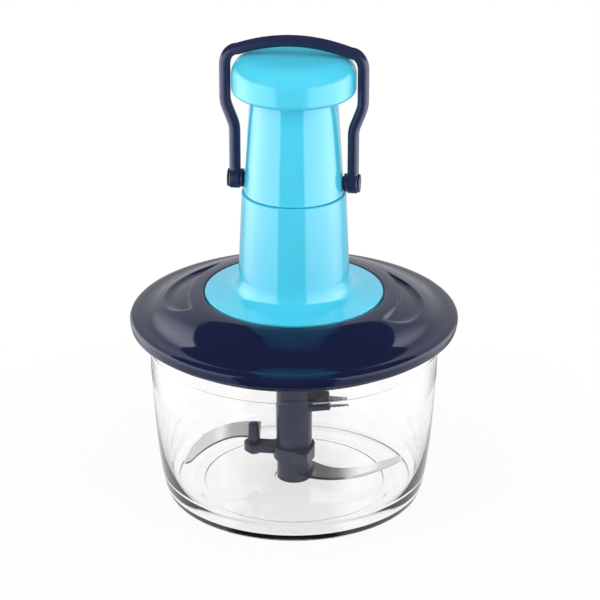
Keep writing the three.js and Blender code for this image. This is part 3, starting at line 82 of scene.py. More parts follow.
class ChopperRotorSizes(bpy.types.PropertyGroup):
    """The shaft, its arm and its blades."""
    shaft_radius: FloatProperty(
        name="Shaft radius", description="Upright shaft", default=10 * MM, unit="LENGTH")
    blade_thickness: FloatProperty(
        name="Blade thickness", description="Sheet thickness of the blades", default=1.2 * MM, unit="LENGTH")
    bevel_width: FloatProperty(
        name="Ground edge", description="Width of the ground cutting edge", default=0.9 * MM, unit="LENGTH")
    steel: StringProperty(name="Blade steel", description="Tone of the polished steel", default="#E6E5E6")


class ChopperLidSizes(bpy.types.PropertyGroup):
    """The domed lid."""
    radius: FloatProperty(
        name="Rim radius", description="Outer radius of the lid", default=89.98 * MM, unit="LENGTH")
    scoop_depth: FloatProperty(
        name="Scoop depth", description="Depth of the two finger scoops", default=2 * MM, unit="LENGTH")
    scoop_edge: FloatProperty(
        name="Scoop edge", description="Width of a scoop's steep inner edge", default=1.1 * MM, unit="LENGTH")
    scoop_slope: FloatProperty(
        name="Scoop slope", description="Width of a scoop's gentle outer slope", default=6 * MM,
        unit="LENGTH")
    colour: StringProperty(name="Navy", description="Colour of the navy mouldings", default="#171D3B")


class ChopperHandleSizes(bpy.types.PropertyGroup):
    """The column, the telescoping sleeve and the mushroom head."""
    column_top: FloatProperty(
        name="Column top", description="Height of the seam", default=175 * MM, unit="LENGTH")
    head_radius: FloatProperty(
        name="Head radius", description="Widest part of the head", default=33.1 * MM, unit="LENGTH")
    colour: StringProperty(
        name="Turquoise", description="Colour of the turquoise mouldings", default="#4CD0EE")


class ChopperLoopSizes(bpy.types.PropertyGroup):
    """The swinging loop and its pivots."""
    width: FloatProperty(name="Bar width", description="Across the bar", default=6 * MM, unit="LENGTH")
    edge: FloatProperty(
        name="Bar rounding", description="Rounding of the bar", default=2.4 * MM, unit="LENGTH")
    pivot_height: FloatProperty(
        name="Pivot height", description="Height of the pivot axis", default=181.2 * MM, unit="LENGTH")
    colour: StringProperty(name="Loop navy", description="Colour of loop and rotor", default="#232949")


class ChopperStageSettings(bpy.types.PropertyGroup):
    """Camera and light."""
    lens: FloatProperty(name="Lens", description="Focal length in millimetres", default=144.6)
    roll: FloatProperty(
        name="Roll", description="Camera roll", default=radians(0.03), unit="ROTATION")
    side_power: FloatProperty(name="Side lights", description="Power of each side light", default=6.0)
    top_power: FloatProperty(name="Top light", description="Power of the top light", default=3.0)
    sky: FloatProperty(name="Fill", description="Strength of the surrounding fill at its foot", default=0.95)
    ceiling: FloatProperty(
        name="Ceiling", description="Strength that reflections see above the cards", default=0.06)
    floor_lift: FloatProperty(
        name="Floor lift", description="How blank the paper is near the object", default=0.92)
    card_reach: FloatProperty(
        name="Card reach", description="How far the cards stand from the axis", default=0.17, unit="LENGTH")
    card_height: FloatProperty(
        name="Card height", description="Height of the cards", default=0.265, unit="LENGTH")
    card_power: FloatProperty(name="Cards", description="Strength of the side cards", default=5.0)
    back_card: FloatProperty(
        name="Back card", description="Share of that strength behind the object", default=0.18)
    turning_steps: IntProperty(name="Turning steps", description="Facets round a turned piece", default=160)


# Shared helpers.

def linear(hex_value):
    """An sRGB hex colour as a linear RGBA tuple."""
    shares = [int(hex_value[i:i + 2], 16) / 255 for i in (1, 3, 5)]
    return tuple(c / 12.92 if c <= 0.04045 else ((c + 0.055) / 1.055) ** 2.4 for c in shares) + (1.0,)


def add_node(tree, kind, settings=None, links=None):
    """Adds one shader node, sets its properties or sockets, and links other nodes' outputs to it."""
    made = tree.nodes.new(kind)
    for key, value in (settings or {}).items():
        if isinstance(key, str) and hasattr(made, key):
            setattr(made, key, value)
        else:
            made.inputs[key].default_value = value
    for key, output in (links or {}).items():
        tree.links.new(output, made.inputs[key])
    return made


def new_material(name):
    """An empty node material with its output."""
    material = bpy.data.materials.new(name)
    material.use_nodes = True
    material.node_tree.nodes.clear()
    output = material.node_tree.nodes.new("ShaderNodeOutputMaterial")
    return material, material.node_tree, output


def rounded(corners, steps=5):
    """Corners are (x, y) or (x, y, radius), in millimetres. A radius becomes an arc."""
    points = []
    for i, corner in enumerate(corners):
        here = Vector(corner[:2])
        if len(corner) < 3 or not corner[2]:
            points.append(here)
            continue
        back = (Vector(corners[i - 1][:2]) - here).normalized()
        ahead = (Vector(corners[(i + 1) % len(corners)][:2]) - here).normalized()
        half = acos(max(-1, min(1, back.dot(ahead)))) / 2
        middle = here + (back + ahead).normalized() * corner[2] / sin(half)
        start = here + back * corner[2] / tan(half) - middle
        end = here + ahead * corner[2] / tan(half) - middle
        sweep = start.angle_signed(end)
        for s in range(steps + 1):
            points.append(middle + Matrix.Rotation(-sweep * s / steps, 2) @ start)
    return points


def curve(start, pull_start, pull_end, end, count=12):
    """Points of a smooth curve between two places, in millimetres."""
    spots = [Vector((x, y, 0)) for x, y in (start, pull_start, pull_end, end)]
    return [Vector(p[:2]) for p in interpolate_bezier(*spots, count)]


def lathe(outline, steps, closed=False, centre=(0, 0)):
    """Spins a half outline in millimetres about an upright axis."""
    bm = bmesh.new()
    verts = [bm.verts.new((p[0] * MM, 0, p[1] * MM)) for p in outline]
    edges = [bm.edges.new(pair) for pair in zip(verts, verts[1:])]
    if closed:
        edges.append(bm.edges.new((verts[-1], verts[0])))
    bmesh.ops.spin(bm, geom=verts + edges, cent=(0, 0, 0), axis=(0, 0, 1), angle=FULL_TURN,
                   steps=steps, use_merge=True)
    bmesh.ops.remove_doubles(bm, verts=bm.verts, dist=0.001 * MM)
    bmesh.ops.translate(bm, verts=bm.verts, vec=(centre[0] * MM, centre[1] * MM, 0))
    bmesh.ops.recalc_face_normals(bm, faces=bm.faces)
    return bm


def add_shell(bm, other):
    """Puts another bmesh's shape into this one."""
    mesh = bpy.data.meshes.new("shell")
    other.to_mesh(mesh)
    other.free()
    bm.from_mesh(mesh)
    bpy.data.meshes.remove(mesh)


def block(low, high, edge, turn=0.0):
    """A rounded block between two corners in millimetres, turned about Z."""
    bm = bmesh.new()
    bmesh.ops.create_cube(bm, size=1)
    size = Vector(high) - Vector(low)
    bmesh.ops.scale(bm, verts=bm.verts, vec=size * MM)
    bmesh.ops.translate(bm, verts=bm.verts, vec=(Vector(low) + size / 2) * MM)
    bmesh.ops.bevel(bm, geom=bm.edges[:], offset=edge * MM, segments=3, profile=0.5, affect="EDGES",
                    material=-1)
    bmesh.ops.rotate(bm, verts=bm.verts, cent=(0, 0, 0), matrix=Matrix.Rotation(turn, 3, "Z"))
    bmesh.ops.recalc_face_normals(bm, faces=bm.faces)
    return bm


def thicken(bm, faces, rise):
    """Pulls flat faces up into a plate of a thickness in millimetres, and returns its top corners."""
    pulled = bmesh.ops.extrude_face_region(bm, geom=faces)["geom"]
    top = [g for g in pulled if isinstance(g, bmesh.types.BMVert)]
    bmesh.ops.translate(bm, verts=top, vec=(0, 0, rise * MM))
    return top


def trim(bm, place, outward):
    """Cuts off what lies beyond a plane through a place in millimetres, and closes the cut."""
    cut = bmesh.ops.bisect_plane(
        bm, geom=bm.verts[:] + bm.edges[:] + bm.faces[:], plane_co=Vector(place) * MM, plane_no=outward,
        clear_outer=True)["geom_cut"]
    bmesh.ops.contextual_create(bm, geom=cut)


def finish_piece(name, bm, materials, body, nodes, crease=32):
    """Makes the mesh an object that rides on a body and stands for CAD nodes. Edges that bend more than
    the crease, in degrees, stay sharp, and flat faces keep flat shading beside their rounded edges."""
    for face in bm.faces:
        face.smooth = True
    for edge in bm.edges:
        if len(edge.link_faces) == 2 and edge.calc_face_angle(0) > radians(crease):
            edge.smooth = False
    mesh = bpy.data.meshes.new(name)
    bm.to_mesh(mesh)
    bm.free()
    for material in materials:
        mesh.materials.append(material)
    piece = bpy.data.objects.new(name, mesh)
    bpy.context.scene.collection.objects.link(piece)
    even = piece.modifiers.new("even_normals", "WEIGHTED_NORMAL")
    even.keep_sharp = True
    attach(piece, body)
    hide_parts(*nodes)


# Finishes.

def moulded_gloss(name, colour, roughness, grain_mm, grain_height, ior, shine):
    """ABS injection-moulded in a polished tool: a deep even colour under a sharp gloss, with the
    long faint waves that shrinkage leaves and a fine haze of handling marks in the gloss."""
    wave_width, wave_height, grain_depth, deep_tone = 28 * MM, 0.06 * MM, 0.01 * MM, 0.9
    material, tree, output = new_material(name)
    place = add_node(tree, "ShaderNodeTexCoord").outputs["Object"]
    waves = add_node(tree, "ShaderNodeTexNoise", {"Scale": 1 / wave_width, "Detail": 1.0}, {"Vector": place})
    haze = add_node(tree, "ShaderNodeTexNoise", {"Scale": 1 / (grain_mm * MM), "Detail": 4.0},
                    {"Vector": place})
    gloss = add_node(tree, "ShaderNodeMapRange", {
        "From Min": 0.35, "From Max": 0.75, "To Min": roughness, "To Max": roughness + 0.06,
    }, {"Value": haze.outputs["Fac"]})
    swell = add_node(tree, "ShaderNodeBump", {"Strength": 0.12, "Distance": wave_height},
                     {"Height": waves.outputs["Fac"]})
    grain = add_node(tree, "ShaderNodeBump", {"Strength": grain_height, "Distance": grain_depth},
                     {"Height": haze.outputs["Fac"], "Normal": swell.outputs["Normal"]})
    tone = add_node(tree, "ShaderNodeMixRGB", {
        "blend_type": "MIX", "Color1": linear(colour),
        "Color2": tuple(c * deep_tone for c in linear(colour)[:3]) + (1.0,),
    }, {"Fac": waves.outputs["Fac"]})
    shader = add_node(tree, "ShaderNodeBsdfPrincipled", {
        "IOR": ior, "Specular Tint": linear(shine),
    }, {"Base Color": tone.outputs["Color"], "Roughness": gloss.outputs["Result"],
        "Normal": grain.outputs["Normal"]})
    tree.links.new(shader.outputs["BSDF"], output.inputs["Surface"])
    return material


def clear_styrene(name, colour):
    """SAN, a clear hard styrene, moulded thick: colourless with a bright polished surface, whose
    slight flow waves bend what is seen through it."""
    flow_width, flow_height, scuff_width = 35 * MM, 0.08 * MM, 1.5 * MM
    material, tree, output = new_material(name)
    place = add_node(tree, "ShaderNodeTexCoord").outputs["Object"]
    flow = add_node(tree, "ShaderNodeTexNoise", {"Scale": 1 / flow_width, "Detail": 1.0}, {"Vector": place})
    scuffs = add_node(tree, "ShaderNodeTexNoise", {"Scale": 1 / scuff_width, "Detail": 3.0},
                      {"Vector": place})
    gloss = add_node(tree, "ShaderNodeMapRange", {
        "From Min": 0.6, "From Max": 0.85, "To Min": 0.0, "To Max": 0.04,
    }, {"Value": scuffs.outputs["Fac"]})
    bump = add_node(tree, "ShaderNodeBump", {"Strength": 0.1, "Distance": flow_height},
                    {"Height": flow.outputs["Fac"]})
    shader = add_node(tree, "ShaderNodeBsdfPrincipled", {
        "Base Color": linear(colour), "IOR": 1.5, "Transmission Weight": 1.0,
    }, {"Roughness": gloss.outputs["Result"], "Normal": bump.outputs["Normal"]})
    tree.links.new(shader.outputs["BSDF"], output.inputs["Surface"])
    return material


def polished_steel(name, colour, roughness, scratch_mm):
    """Cold-rolled stainless sheet, mechanically polished: a mirror with fine lengthwise scratches
    that spread its highlights a little."""
    scratch_depth, scratch_length = 0.01 * MM, 12.0
    material, tree, output = new_material(name)
    place = add_node(tree, "ShaderNodeTexCoord").outputs["Object"]
    stretch = add_node(tree, "ShaderNodeMapping", {"Scale": (1.0, scratch_length, 1.0)}, {"Vector": place})
    scratches = add_node(tree, "ShaderNodeTexNoise", {"Scale": 1 / (scratch_mm * MM), "Detail": 5.0},
                         {"Vector": stretch.outputs["Vector"]})
    gloss = add_node(tree, "ShaderNodeMapRange", {"To Min": roughness, "To Max": roughness + 0.1},
                     {"Value": scratches.outputs["Fac"]})
    bump = add_node(tree, "ShaderNodeBump", {"Strength": 0.08, "Distance": scratch_depth},
                    {"Height": scratches.outputs["Fac"]})
    shader = add_node(tree, "ShaderNodeBsdfPrincipled", {
        "Base Color": linear(colour), "Metallic": 1.0,
    }, {"Roughness": gloss.outputs["Result"], "Normal": bump.outputs["Normal"]})
    tree.links.new(shader.outputs["BSDF"], output.inputs["Surface"])
    return material


def soft_polymer(name, colour, roughness, grain_mm):
    """Acetal or silicone straight from the tool: even, milky and slightly waxy."""
    grain_depth, glow_depth = 0.02 * MM, 2 * MM
    material, tree, output = new_material(name)
    place = add_node(tree, "ShaderNodeTexCoord").outputs["Object"]
    grain = add_node(tree, "ShaderNodeTexNoise", {"Scale": 1 / (grain_mm * MM), "Detail": 3.0},
                     {"Vector": place})
    gloss = add_node(tree, "ShaderNodeMapRange", {"To Min": roughness, "To Max": roughness + 0.12},
                     {"Value": grain.outputs["Fac"]})
    bump = add_node(tree, "ShaderNodeBump", {"Strength": 0.15, "Distance": grain_depth},
                    {"Height": grain.outputs["Fac"]})
    shader = add_node(tree, "ShaderNodeBsdfPrincipled", {
        "Base Color": linear(colour), "IOR": 1.45, "Subsurface Weight": 0.15, "Subsurface Scale": glow_depth,
    }, {"Roughness": gloss.outputs["Result"], "Normal": bump.outputs["Normal"]})
    tree.links.new(shader.outputs["BSDF"], output.inputs["Surface"])
    return material


def finish(key):
    """The finish of that name, made once. A moulded gloss has its colour, roughness, the width in
    millimetres and height of its haze, its IOR and the tint of its shine. A steel has its colour,
    roughness and scratch width, and a soft polymer its colour, roughness and grain width."""
    scene = bpy.context.scene
    navy, satin = scene.chopper_lid.colour, scene.chopper_loop.colour
    turquoise = scene.chopper_handle.colour
    name, make, *values = {
        "navy_abs": ("navy_gloss_abs", moulded_gloss, navy, 0.05, 0.6, 0.03, 1.38, "#DCE4FF"),
        "loop_abs": ("navy_satin_abs", moulded_gloss, satin, 0.22, 0.4, 0.08, 1.48, "#E3E9FF"),
        "turquoise_abs": ("turquoise_gloss_abs", moulded_gloss, turquoise, 0.1, 0.6, 0.03, 1.6, "#FFFFFF"),
        "head_abs": ("turquoise_satin_abs", moulded_gloss, turquoise, 0.2, 0.6, 0.02, 1.55, "#FFFFFF"),
        "clear_san": ("clear_san", clear_styrene, scene.chopper_bowl.colour),
        "blade_steel": ("mirror_polished_stainless", polished_steel, scene.chopper_rotor.steel, 0.06, 0.5),
        # The blades' sheared sides: their higher roughness is the real matte of a sheared edge, and their
        # dark grey #58585A is painted shade.
        "blade_side_painted_shade": ("sheared_steel_edge_painted_shade", polished_steel, "#58585A", 0.4, 0.2),
        "screw_steel": ("bright_drawn_steel", polished_steel, "#A9ABAF", 0.25, 0.3),
        "acetal": ("natural_acetal", soft_polymer, "#ECEAE2", 0.4, 0.5),
        "silicone": ("clear_silicone_rubber", soft_polymer, "#E6E8EA", 0.5, 0.3),
    }[key]
    return bpy.data.materials.get(name) or make(name, *values)


# Pieces. An outline is a list of places in millimetres, (radius, height) or (radius, height, rounding).

class ChopperBowl(bpy.types.Operator):
    """Turn the clear bowl with its rim band, its punt and its centre pin."""
    bl_idname = "chopper.bowl"
    bl_label = "Clear bowl"

    def execute(self, context):
        size = context.scene.chopper_bowl
        top, foot = size.top_radius / MM, size.foot_radius / MM
        shoulder, wall = size.shoulder_radius / MM, size.wall / MM
        height, band = size.height / MM, size.band_proud / MM
        band_foot = height - size.band_height / MM
        punt, pin_top = 0.8, 15.5
        floor = punt + size.floor / MM
        outside = curve((foot, 3.5), ((foot + 2 * shoulder) / 3, 17.8), ((top + 2 * shoulder) / 3, 50),
                        (top, height), 26)
        below = [p for p in outside if p.y < band_foot - 1.5 * band]
        inside = curve((top - wall, height), ((top + 2 * shoulder) / 3 - wall, 50),
                       ((foot + 2 * shoulder) / 3 - wall, 18.8), (foot - wall - 0.8, 9), 22)
        outline = (
            [Vector((0, punt)), Vector((49.5, punt))]
            + rounded([(49.5, punt), (51, 0, 0.3), (foot - 1, 0, 3.2), tuple(below[1])])[1:-1]
            + below[1:]
            + rounded([tuple(below[-1]), (top - 0.15, band_foot - band, 0.4), (top + band, band_foot, 0.4),
                       (top + band, height, 0.8), (top - wall, height, 0.8), tuple(inside[2])], 4)[1:-1]
            + inside[2:]
            + rounded([tuple(inside[-1]), (foot - wall - 2.4, floor, 3), (60, floor)])[1:-1]
            + rounded([(60, floor), (57, floor, 0.4), (56, floor + 0.5, 0.4), (11, floor + 0.5, 0.3),
                       (10.6, floor, 0.3), (3.4, floor, 0.6), (3, pin_top, 0.8), (0, pin_top)], 3)
        )
        bowl = lathe(outline, context.scene.chopper_stage.turning_steps)
        finish_piece("bowl_clear", bowl, [finish("clear_san")], "bowl", ["bowl"], 40)
        return {"FINISHED"}


# The two curved blades: the pulls of the middle line from root to tip, the widths at root, belly and tip,
# the height of the underside, and the plane that cuts the root, by a place on it and the way out.
CURVED_BLADES = {
    "low": (((3.5, -4), (20, -15), (34.8, -15.5), (60, 13.8)), (19, 12.6, 4.5), 11.4,
            (3.9, 0, 0), (-1, 0, 0)),
    "high": (((-17, 12), (-36, 18), (-52, 4.5), (-55, -33.5)), (22, 17.2, 3.6), 24.3,
             (-20.6, 10, 0), (1, 0.12, 0)),
}

# The small top blade: the height of its middle, and how far it is turned round the shaft.
TOP_BLADE_HEIGHT = 50
TOP_BLADE_TURN = radians(8)


class ChopperRotor(bpy.types.Operator):
    """Make the shaft, the arm with its post, and the three blades."""
    bl_idname = "chopper.rotor"
    bl_label = "Rotor"

    def execute(self, context):
        size = context.scene.chopper_rotor
        navy = [finish("loop_abs")]
        # The second finish darkens the blades' upright sides with painted shade.
        steel = [finish("blade_steel"), finish("blade_side_painted_shade")]
        radius = size.shaft_radius / MM
        foot, top, pin_hole, socket = 3.5, 90, 15.8, 77
        holder_waist, holder_lift = 15, 1.2
        shaft = lathe(rounded([
            (0, pin_hole), (3.3, pin_hole), (3.3, foot), (9.6, foot, 0.6), (9.6, 14), (radius, 14.8),
            (radius, top, 0.8), (6, top, 0.4), (5.5, socket), (0, socket)], 4), 96)
        holder = block((6, -6, 47.5), (20, 6, 52.5), 0.8, TOP_BLADE_TURN)
        for vert in holder.verts:
            if vert.co.x > holder_waist * MM and vert.co.z < TOP_BLADE_HEIGHT * MM:
                vert.co.z += holder_lift * MM
        add_shell(shaft, holder)
        finish_piece("shaft_navy", shaft, navy, "rotor", ["rotor_shaft"])

        collar = lathe(rounded([
            (10.3, 16.6), (11.7, 16.6, 0.3), (11.7, 24.6, 0.3), (10.3, 24.6)], 3), 96, closed=True)
        under, over, pad_place = 19, 24, (-22.8, 0)
        arm = block((-22, -4.6, under), (-10.6, 4.6, over), 0.7)
        pad = lathe(rounded([(0, under), (5.6, under, 0.6), (5.6, over, 0.6), (0, over)]), 64,
                    centre=pad_place)
        prow = slab([(-2.4, -11.0), (7.4, -14.5), (9.0, -13.6), (11.3, -4.6), (8, -7.4), (1, -10.6)],
                    17.4, 24.4, 0.5)
        for part in (arm, pad, prow):
            add_shell(collar, part)
        finish_piece("arm_navy", collar, navy, "rotor", ["blade_arm"])
        post = lathe(rounded([
            (0, 17.1), (3.2, 17.1, 0.5), (3.2, 18.7), (2, 18.7), (2, 25.8), (3.3, 25.8),
            (3.0, 35.5, 0.8), (0, 35.5)]), 48, centre=pad_place)
        finish_piece("post_navy", post, navy, "rotor", ["arm_post"])

        thickness = size.blade_thickness / MM
        ground = size.bevel_width / MM
        for word, (pulls, widths, height, place, outward) in CURVED_BLADES.items():
            curved = blade(pulls, widths, height, thickness, ground)
            trim(curved, place, outward)
            finish_piece(f"blade_{word}_polished", curved, steel, "rotor",
                         [f"{word}_blade"], 20)
        finish_piece("blade_top_serrated", serrated_blade(thickness), steel, "rotor",
                     ["top_blade"], 20)
        return {"FINISHED"}


def slab(corners, low, high, edge):
    """A plate between two heights with rounded edges, from its outline seen from above, in millimetres."""
    bm = bmesh.new()
    face = bm.faces.new([bm.verts.new((x * MM, y * MM, low * MM)) for x, y in corners])
    thicken(bm, [face], high - low)
    bmesh.ops.recalc_face_normals(bm, faces=bm.faces)
    bmesh.ops.bevel(bm, geom=bm.edges[:], offset=edge * MM, segments=2, profile=0.5, affect="EDGES",
                    material=-1)
    return bm


def mark_painted_shade_sides(bm):
    """Gives the sides of a blade, which stand nearly upright, the second material, whose dark grey is painted
    shade along the blade's edges.
    """
    bmesh.ops.recalc_face_normals(bm, faces=bm.faces)
    for face in bm.faces:
        face.material_index = 1 if abs(face.normal.z) < 0.3 else 0


def blade(pulls, widths, height, thickness, ground, steps=56):
    """A curved blade: a strip along a curve given by its pulls, whose width eases from root to belly to
    tip, with a rounded tip and a ground edge on its outer side, in millimetres. Its sheared sides take
    the second material, a matte steel whose dark grey is painted shade."""
    cutting_edge, least_tip = 0.3, 0.04
    line = interpolate_bezier(*[Vector((x, y, 0)) for x, y in pulls], steps + 1)
    reach = sum((b - a).length for a, b in zip(line, line[1:]))
    tip = widths[2] / 2

    def across(i):
        way = (line[min(i + 1, steps)] - line[max(i - 1, 0)]).normalized()
        share = i / steps
        half = (widths[0] * (1 - share) ** 2 + 2 * widths[1] * share * (1 - share)
                + widths[2] * share ** 2) / 2
        left = (1 - share) * reach
        if left < tip:
            half *= sqrt(max(least_tip, 1 - (1 - left / tip) ** 2))
        side = Vector((way.y, -way.x, 0)) * half
        inward = -side.normalized() * min(ground, half / 3)
        return [line[i] + side, line[i] + side + inward, line[i] - side]

    bm = bmesh.new()
    row = [bm.verts.new(p * MM) for p in across(0)]
    edges = [bm.edges.new(pair) for pair in zip(row, row[1:])]
    for i in range(1, steps + 1):
        pulled = bmesh.ops.extrude_edge_only(bm, edges=edges)["geom"]
        edges = [g for g in pulled if isinstance(g, bmesh.types.BMEdge)]
        spots, old = across(i), across(i - 1)
        for vert in (g for g in pulled if isinstance(g, bmesh.types.BMVert)):
            nearest = min(range(3), key=lambda k: (vert.co / MM - old[k]).length)
            vert.co = spots[nearest] * MM
    bmesh.ops.recalc_face_normals(bm, faces=bm.faces)
    if sum(face.normal.z for face in bm.faces) < 0:
        bmesh.ops.reverse_faces(bm, faces=bm.faces)
    outer = {tuple(round(c, 4) for c in across(i)[0][:2]) for i in range(steps + 1)}
    for vert in thicken(bm, bm.faces[:], thickness):
        if tuple(round(c / MM, 4) for c in vert.co.xy) in outer:
            vert.co.z -= (thickness - cutting_edge) * MM
    bmesh.ops.translate(bm, verts=bm.verts, vec=(0, 0, height * MM))
    mark_painted_shade_sides(bm)
    return bm


def serrated_blade(thickness):
    """The small top blade: a tapering tongue whose front edge has four rounded notches."""
    root, tip, root_half, tip_half = 10.3, 30, 4.5, 1.7
    first_notch, notch_width, notch_depth = 20, 2.5, 1.6
    low = TOP_BLADE_HEIGHT - thickness / 2
    bm = bmesh.new()
    bmesh.ops.create_grid(bm, x_segments=60, y_segments=4, size=0.5)
    for vert in bm.verts:
        share = vert.co.x + 0.5
        x = root + (tip - root) * share
        half = root_half + (tip_half - root_half) * share
        notch = 0.0
        if x > first_notch:
            notch = notch_depth * abs(sin(pi * (x - first_notch) / notch_width)) * (0.5 - vert.co.y)
        vert.co = Vector((x * MM, (vert.co.y * 2 * half + notch) * MM, low * MM))
    thicken(bm, bm.faces[:], thickness)
    bmesh.ops.rotate(bm, verts=bm.verts, cent=(0, 0, 0), matrix=Matrix.Rotation(TOP_BLADE_TURN, 3, "Z"))
    # The upright sides take the second material's dark grey, which is painted shade.
    mark_painted_shade_sides(bm)
    return bm


# One finger scoop, from its tail to its front: the share of its sweep, and its inner and outer radius in
# millimetres. Its tail is this many degrees from the back of the lid, and its sweep is in degrees too.
SCOOP_SHARES = (0.0, 0.15, 0.3, 0.5, 0.75, 0.9, 1.0)
SCOOP_INNER = (59.0, 57.7, 57.2, 56.9, 57.2, 57.7, 58.5)
SCOOP_OUTER = (59.6, 62.3, 66.5, 70.3, 70.8, 67.9, 61.5)
SCOOP_TAIL = 50
SCOOP_SWEEP = 70


def eased(table, share):
    """Reads a table over SCOOP_SHARES on one smooth curve through its values."""
    last = len(table) - 1
    slopes = [(table[min(i + 1, last)] - table[max(i - 1, 0)])
              / (SCOOP_SHARES[min(i + 1, last)] - SCOOP_SHARES[max(i - 1, 0)]) for i in range(last + 1)]
    for i in range(last):
        if share <= SCOOP_SHARES[i + 1]:
            width = SCOOP_SHARES[i + 1] - SCOOP_SHARES[i]
            t = (share - SCOOP_SHARES[i]) / width
            return (table[i] * (1 + 2 * t) * (1 - t) ** 2 + slopes[i] * width * t * (1 - t) ** 2
                    + table[i + 1] * t * t * (3 - 2 * t) - slopes[i + 1] * width * t * t * (1 - t))
    return table[last]


def smooth_step(value):
    """0 below 0 and 1 above 1, with an even ease between them."""
    value = max(0.0, min(1.0, value))
    return value * value * (3 - 2 * value)


def scoop_sink(x, y, depth, edge, slope):
    """How far a finger scoop lowers the lid at a place, in millimetres: it drops off a steep inner
    edge and comes up again on a gentle slope outside."""
    away = Vector((x, y)).angle(Vector((0, 1)), 0.0) * 180 / pi
    share = (away - SCOOP_TAIL) / SCOOP_SWEEP
    if share <= 0 or share >= 1:
        return 0.0
    reach = sqrt(x * x + y * y)
    out = max(0.0, min(1.0, (eased(SCOOP_OUTER, share) - reach) / slope))
    front = max(0.0, min(1.0, (1 - share) * radians(SCOOP_SWEEP) * reach / slope))
    return (depth * smooth_step((reach - eased(SCOOP_INNER, share)) / edge)
            * out * (2 - out) * front * (2 - front))


class ChopperLid(bpy.types.Operator):
    """Turn the domed lid, sink its two finger scoops, and add the seal."""
    bl_idname = "chopper.lid"
    bl_label = "Domed lid"

    def execute(self, context):
        size = context.scene.chopper_lid
        rim = size.radius / MM
        crown = curve((50.2, 117.2), (58.2, 116.9), (67.2, 114.2), (75.2, 109.2), 48)
        sweep = curve((75.2, 109.2), (78.2, 107.2), (80.4, 105.8), (86.2, 105.5), 16)
        top = [Vector((49.4, 116.6))] + crown + sweep[1:]
        edge = rounded([
            (86.2, 105.5), (rim, 104.5, 2.0), (rim - 1, 99, 1.2), (86.2, 99, 0.5), (85.6, 96.8, 0.6),
            (84, 96.8, 0.4), (84, 100.3, 0.4), (76.2, 100.3, 0.3), (76.2, 97.8), (75.2, 97.8),
            (75.2, 93.2), (76.2, 93.2), (76.2, 92.3, 0.3), (73.8, 92.3, 0.3), (73.8, 106.4, 2),
            (61.8, 111.9), (51.9, 112), (11.2, 112, 1), (11.2, 96.5, 0.4), (8.6, 96.5), (8.6, 114.4),
            (49.4, 114.4)], 4)[1:]
        fine_steps, dome_foot, dome_start = 560, 106, 52
        lid = lathe(top + edge, fine_steps, closed=True)
        scoop = size.scoop_depth / MM, size.scoop_edge / MM, size.scoop_slope / MM
        for vert in lid.verts:
            x, y, z = vert.co / MM
            if z > dome_foot and x * x + y * y > dome_start ** 2:
                vert.co.z -= scoop_sink(x, y, *scoop) * MM
        finish_piece("lid_navy", lid, [finish("navy_abs")], "lid", ["lid"], 48)
        seal = lathe(rounded([
            (75.5, 93.5), (76.2, 93.5, 0.3), (76.8, 94.6, 0.4), (76.3, 95.5, 0.3), (76.8, 96.4, 0.4),
            (76.2, 97.5, 0.3), (75.5, 97.5)], 3), 160, closed=True)
        finish_piece("seal_silicone", seal, [finish("silicone")], "lid", ["lid_seal"])
        return {"FINISHED"}


class ChopperHandle(bpy.types.Operator):
    """Turn the column with its disc and flare, the sleeve and the mushroom head."""
    bl_idname = "chopper.handle"
    bl_label = "Handle"

    def execute(self, context):
        size = context.scene.chopper_handle
        steps = context.scene.chopper_stage.turning_steps
        turquoise = [finish("turquoise_abs")]
        top = size.column_top / MM
        flare = curve((47.0, 118.0), (34.5, 119.1), (30.9, 119.3), (30.1, 128.5), 26)
        column = lathe(
            [Vector((27.2, 114.7))]
            + rounded([(27.2, 114.7), (48.6, 114.7, 0.3), (48.6, 117.8, 0.6), tuple(flare[0])])[1:-1]
            + flare
            + rounded([tuple(flare[-1]), (28.1, top, 0.7), (26.2, top, 0.3), (26.2, top - 13),
                       (27.2, top - 14), (27.2, 114.7)])[1:-1], steps, closed=True)
        finish_piece("column_turquoise", column, turquoise, "lid", ["handle_column"], 40)
        sleeve = lathe(rounded([
            (8.8, 152), (23.9, 152), (23.9, 116), (26.9, 116, 0.4), (26.9, 119, 0.4), (25.9, 119),
            (25.9, 175.3), (26.9, 175.3, 0.4), (23.3, 230), (2.3, 230), (2.3, 227), (21.4, 227),
            (23.9, 178), (23.9, 155), (8.8, 155)]), steps, closed=True)
        finish_piece("sleeve_turquoise", sleeve, turquoise, "head",
                     ["plunger_sleeve"], 40)
        wide = size.head_radius / MM
        shoulder = 240.8
        crown = curve((0, 251.6), (10, 251.6), (18, 251.4), (wide - 10, 250.8), 12)
        side = curve((wide - 10, 250.8), (wide - 4.2, 250.3), (wide - 0.1, 246.4), (wide, shoulder), 16)
        head = lathe(
            crown + side[1:]
            + rounded([(wide, shoulder), (wide, 230.4, 3.2), (23.6, 230.4, 0.3), (23.6, 232.4, 0.3),
                       (5, 232.4), (5, 233), (0, 233)], 8)[1:], steps)
        finish_piece("head_turquoise", head, [finish("head_abs")], "head",
                     ["head_cap", "head_plate"], 40)
        return {"FINISHED"}


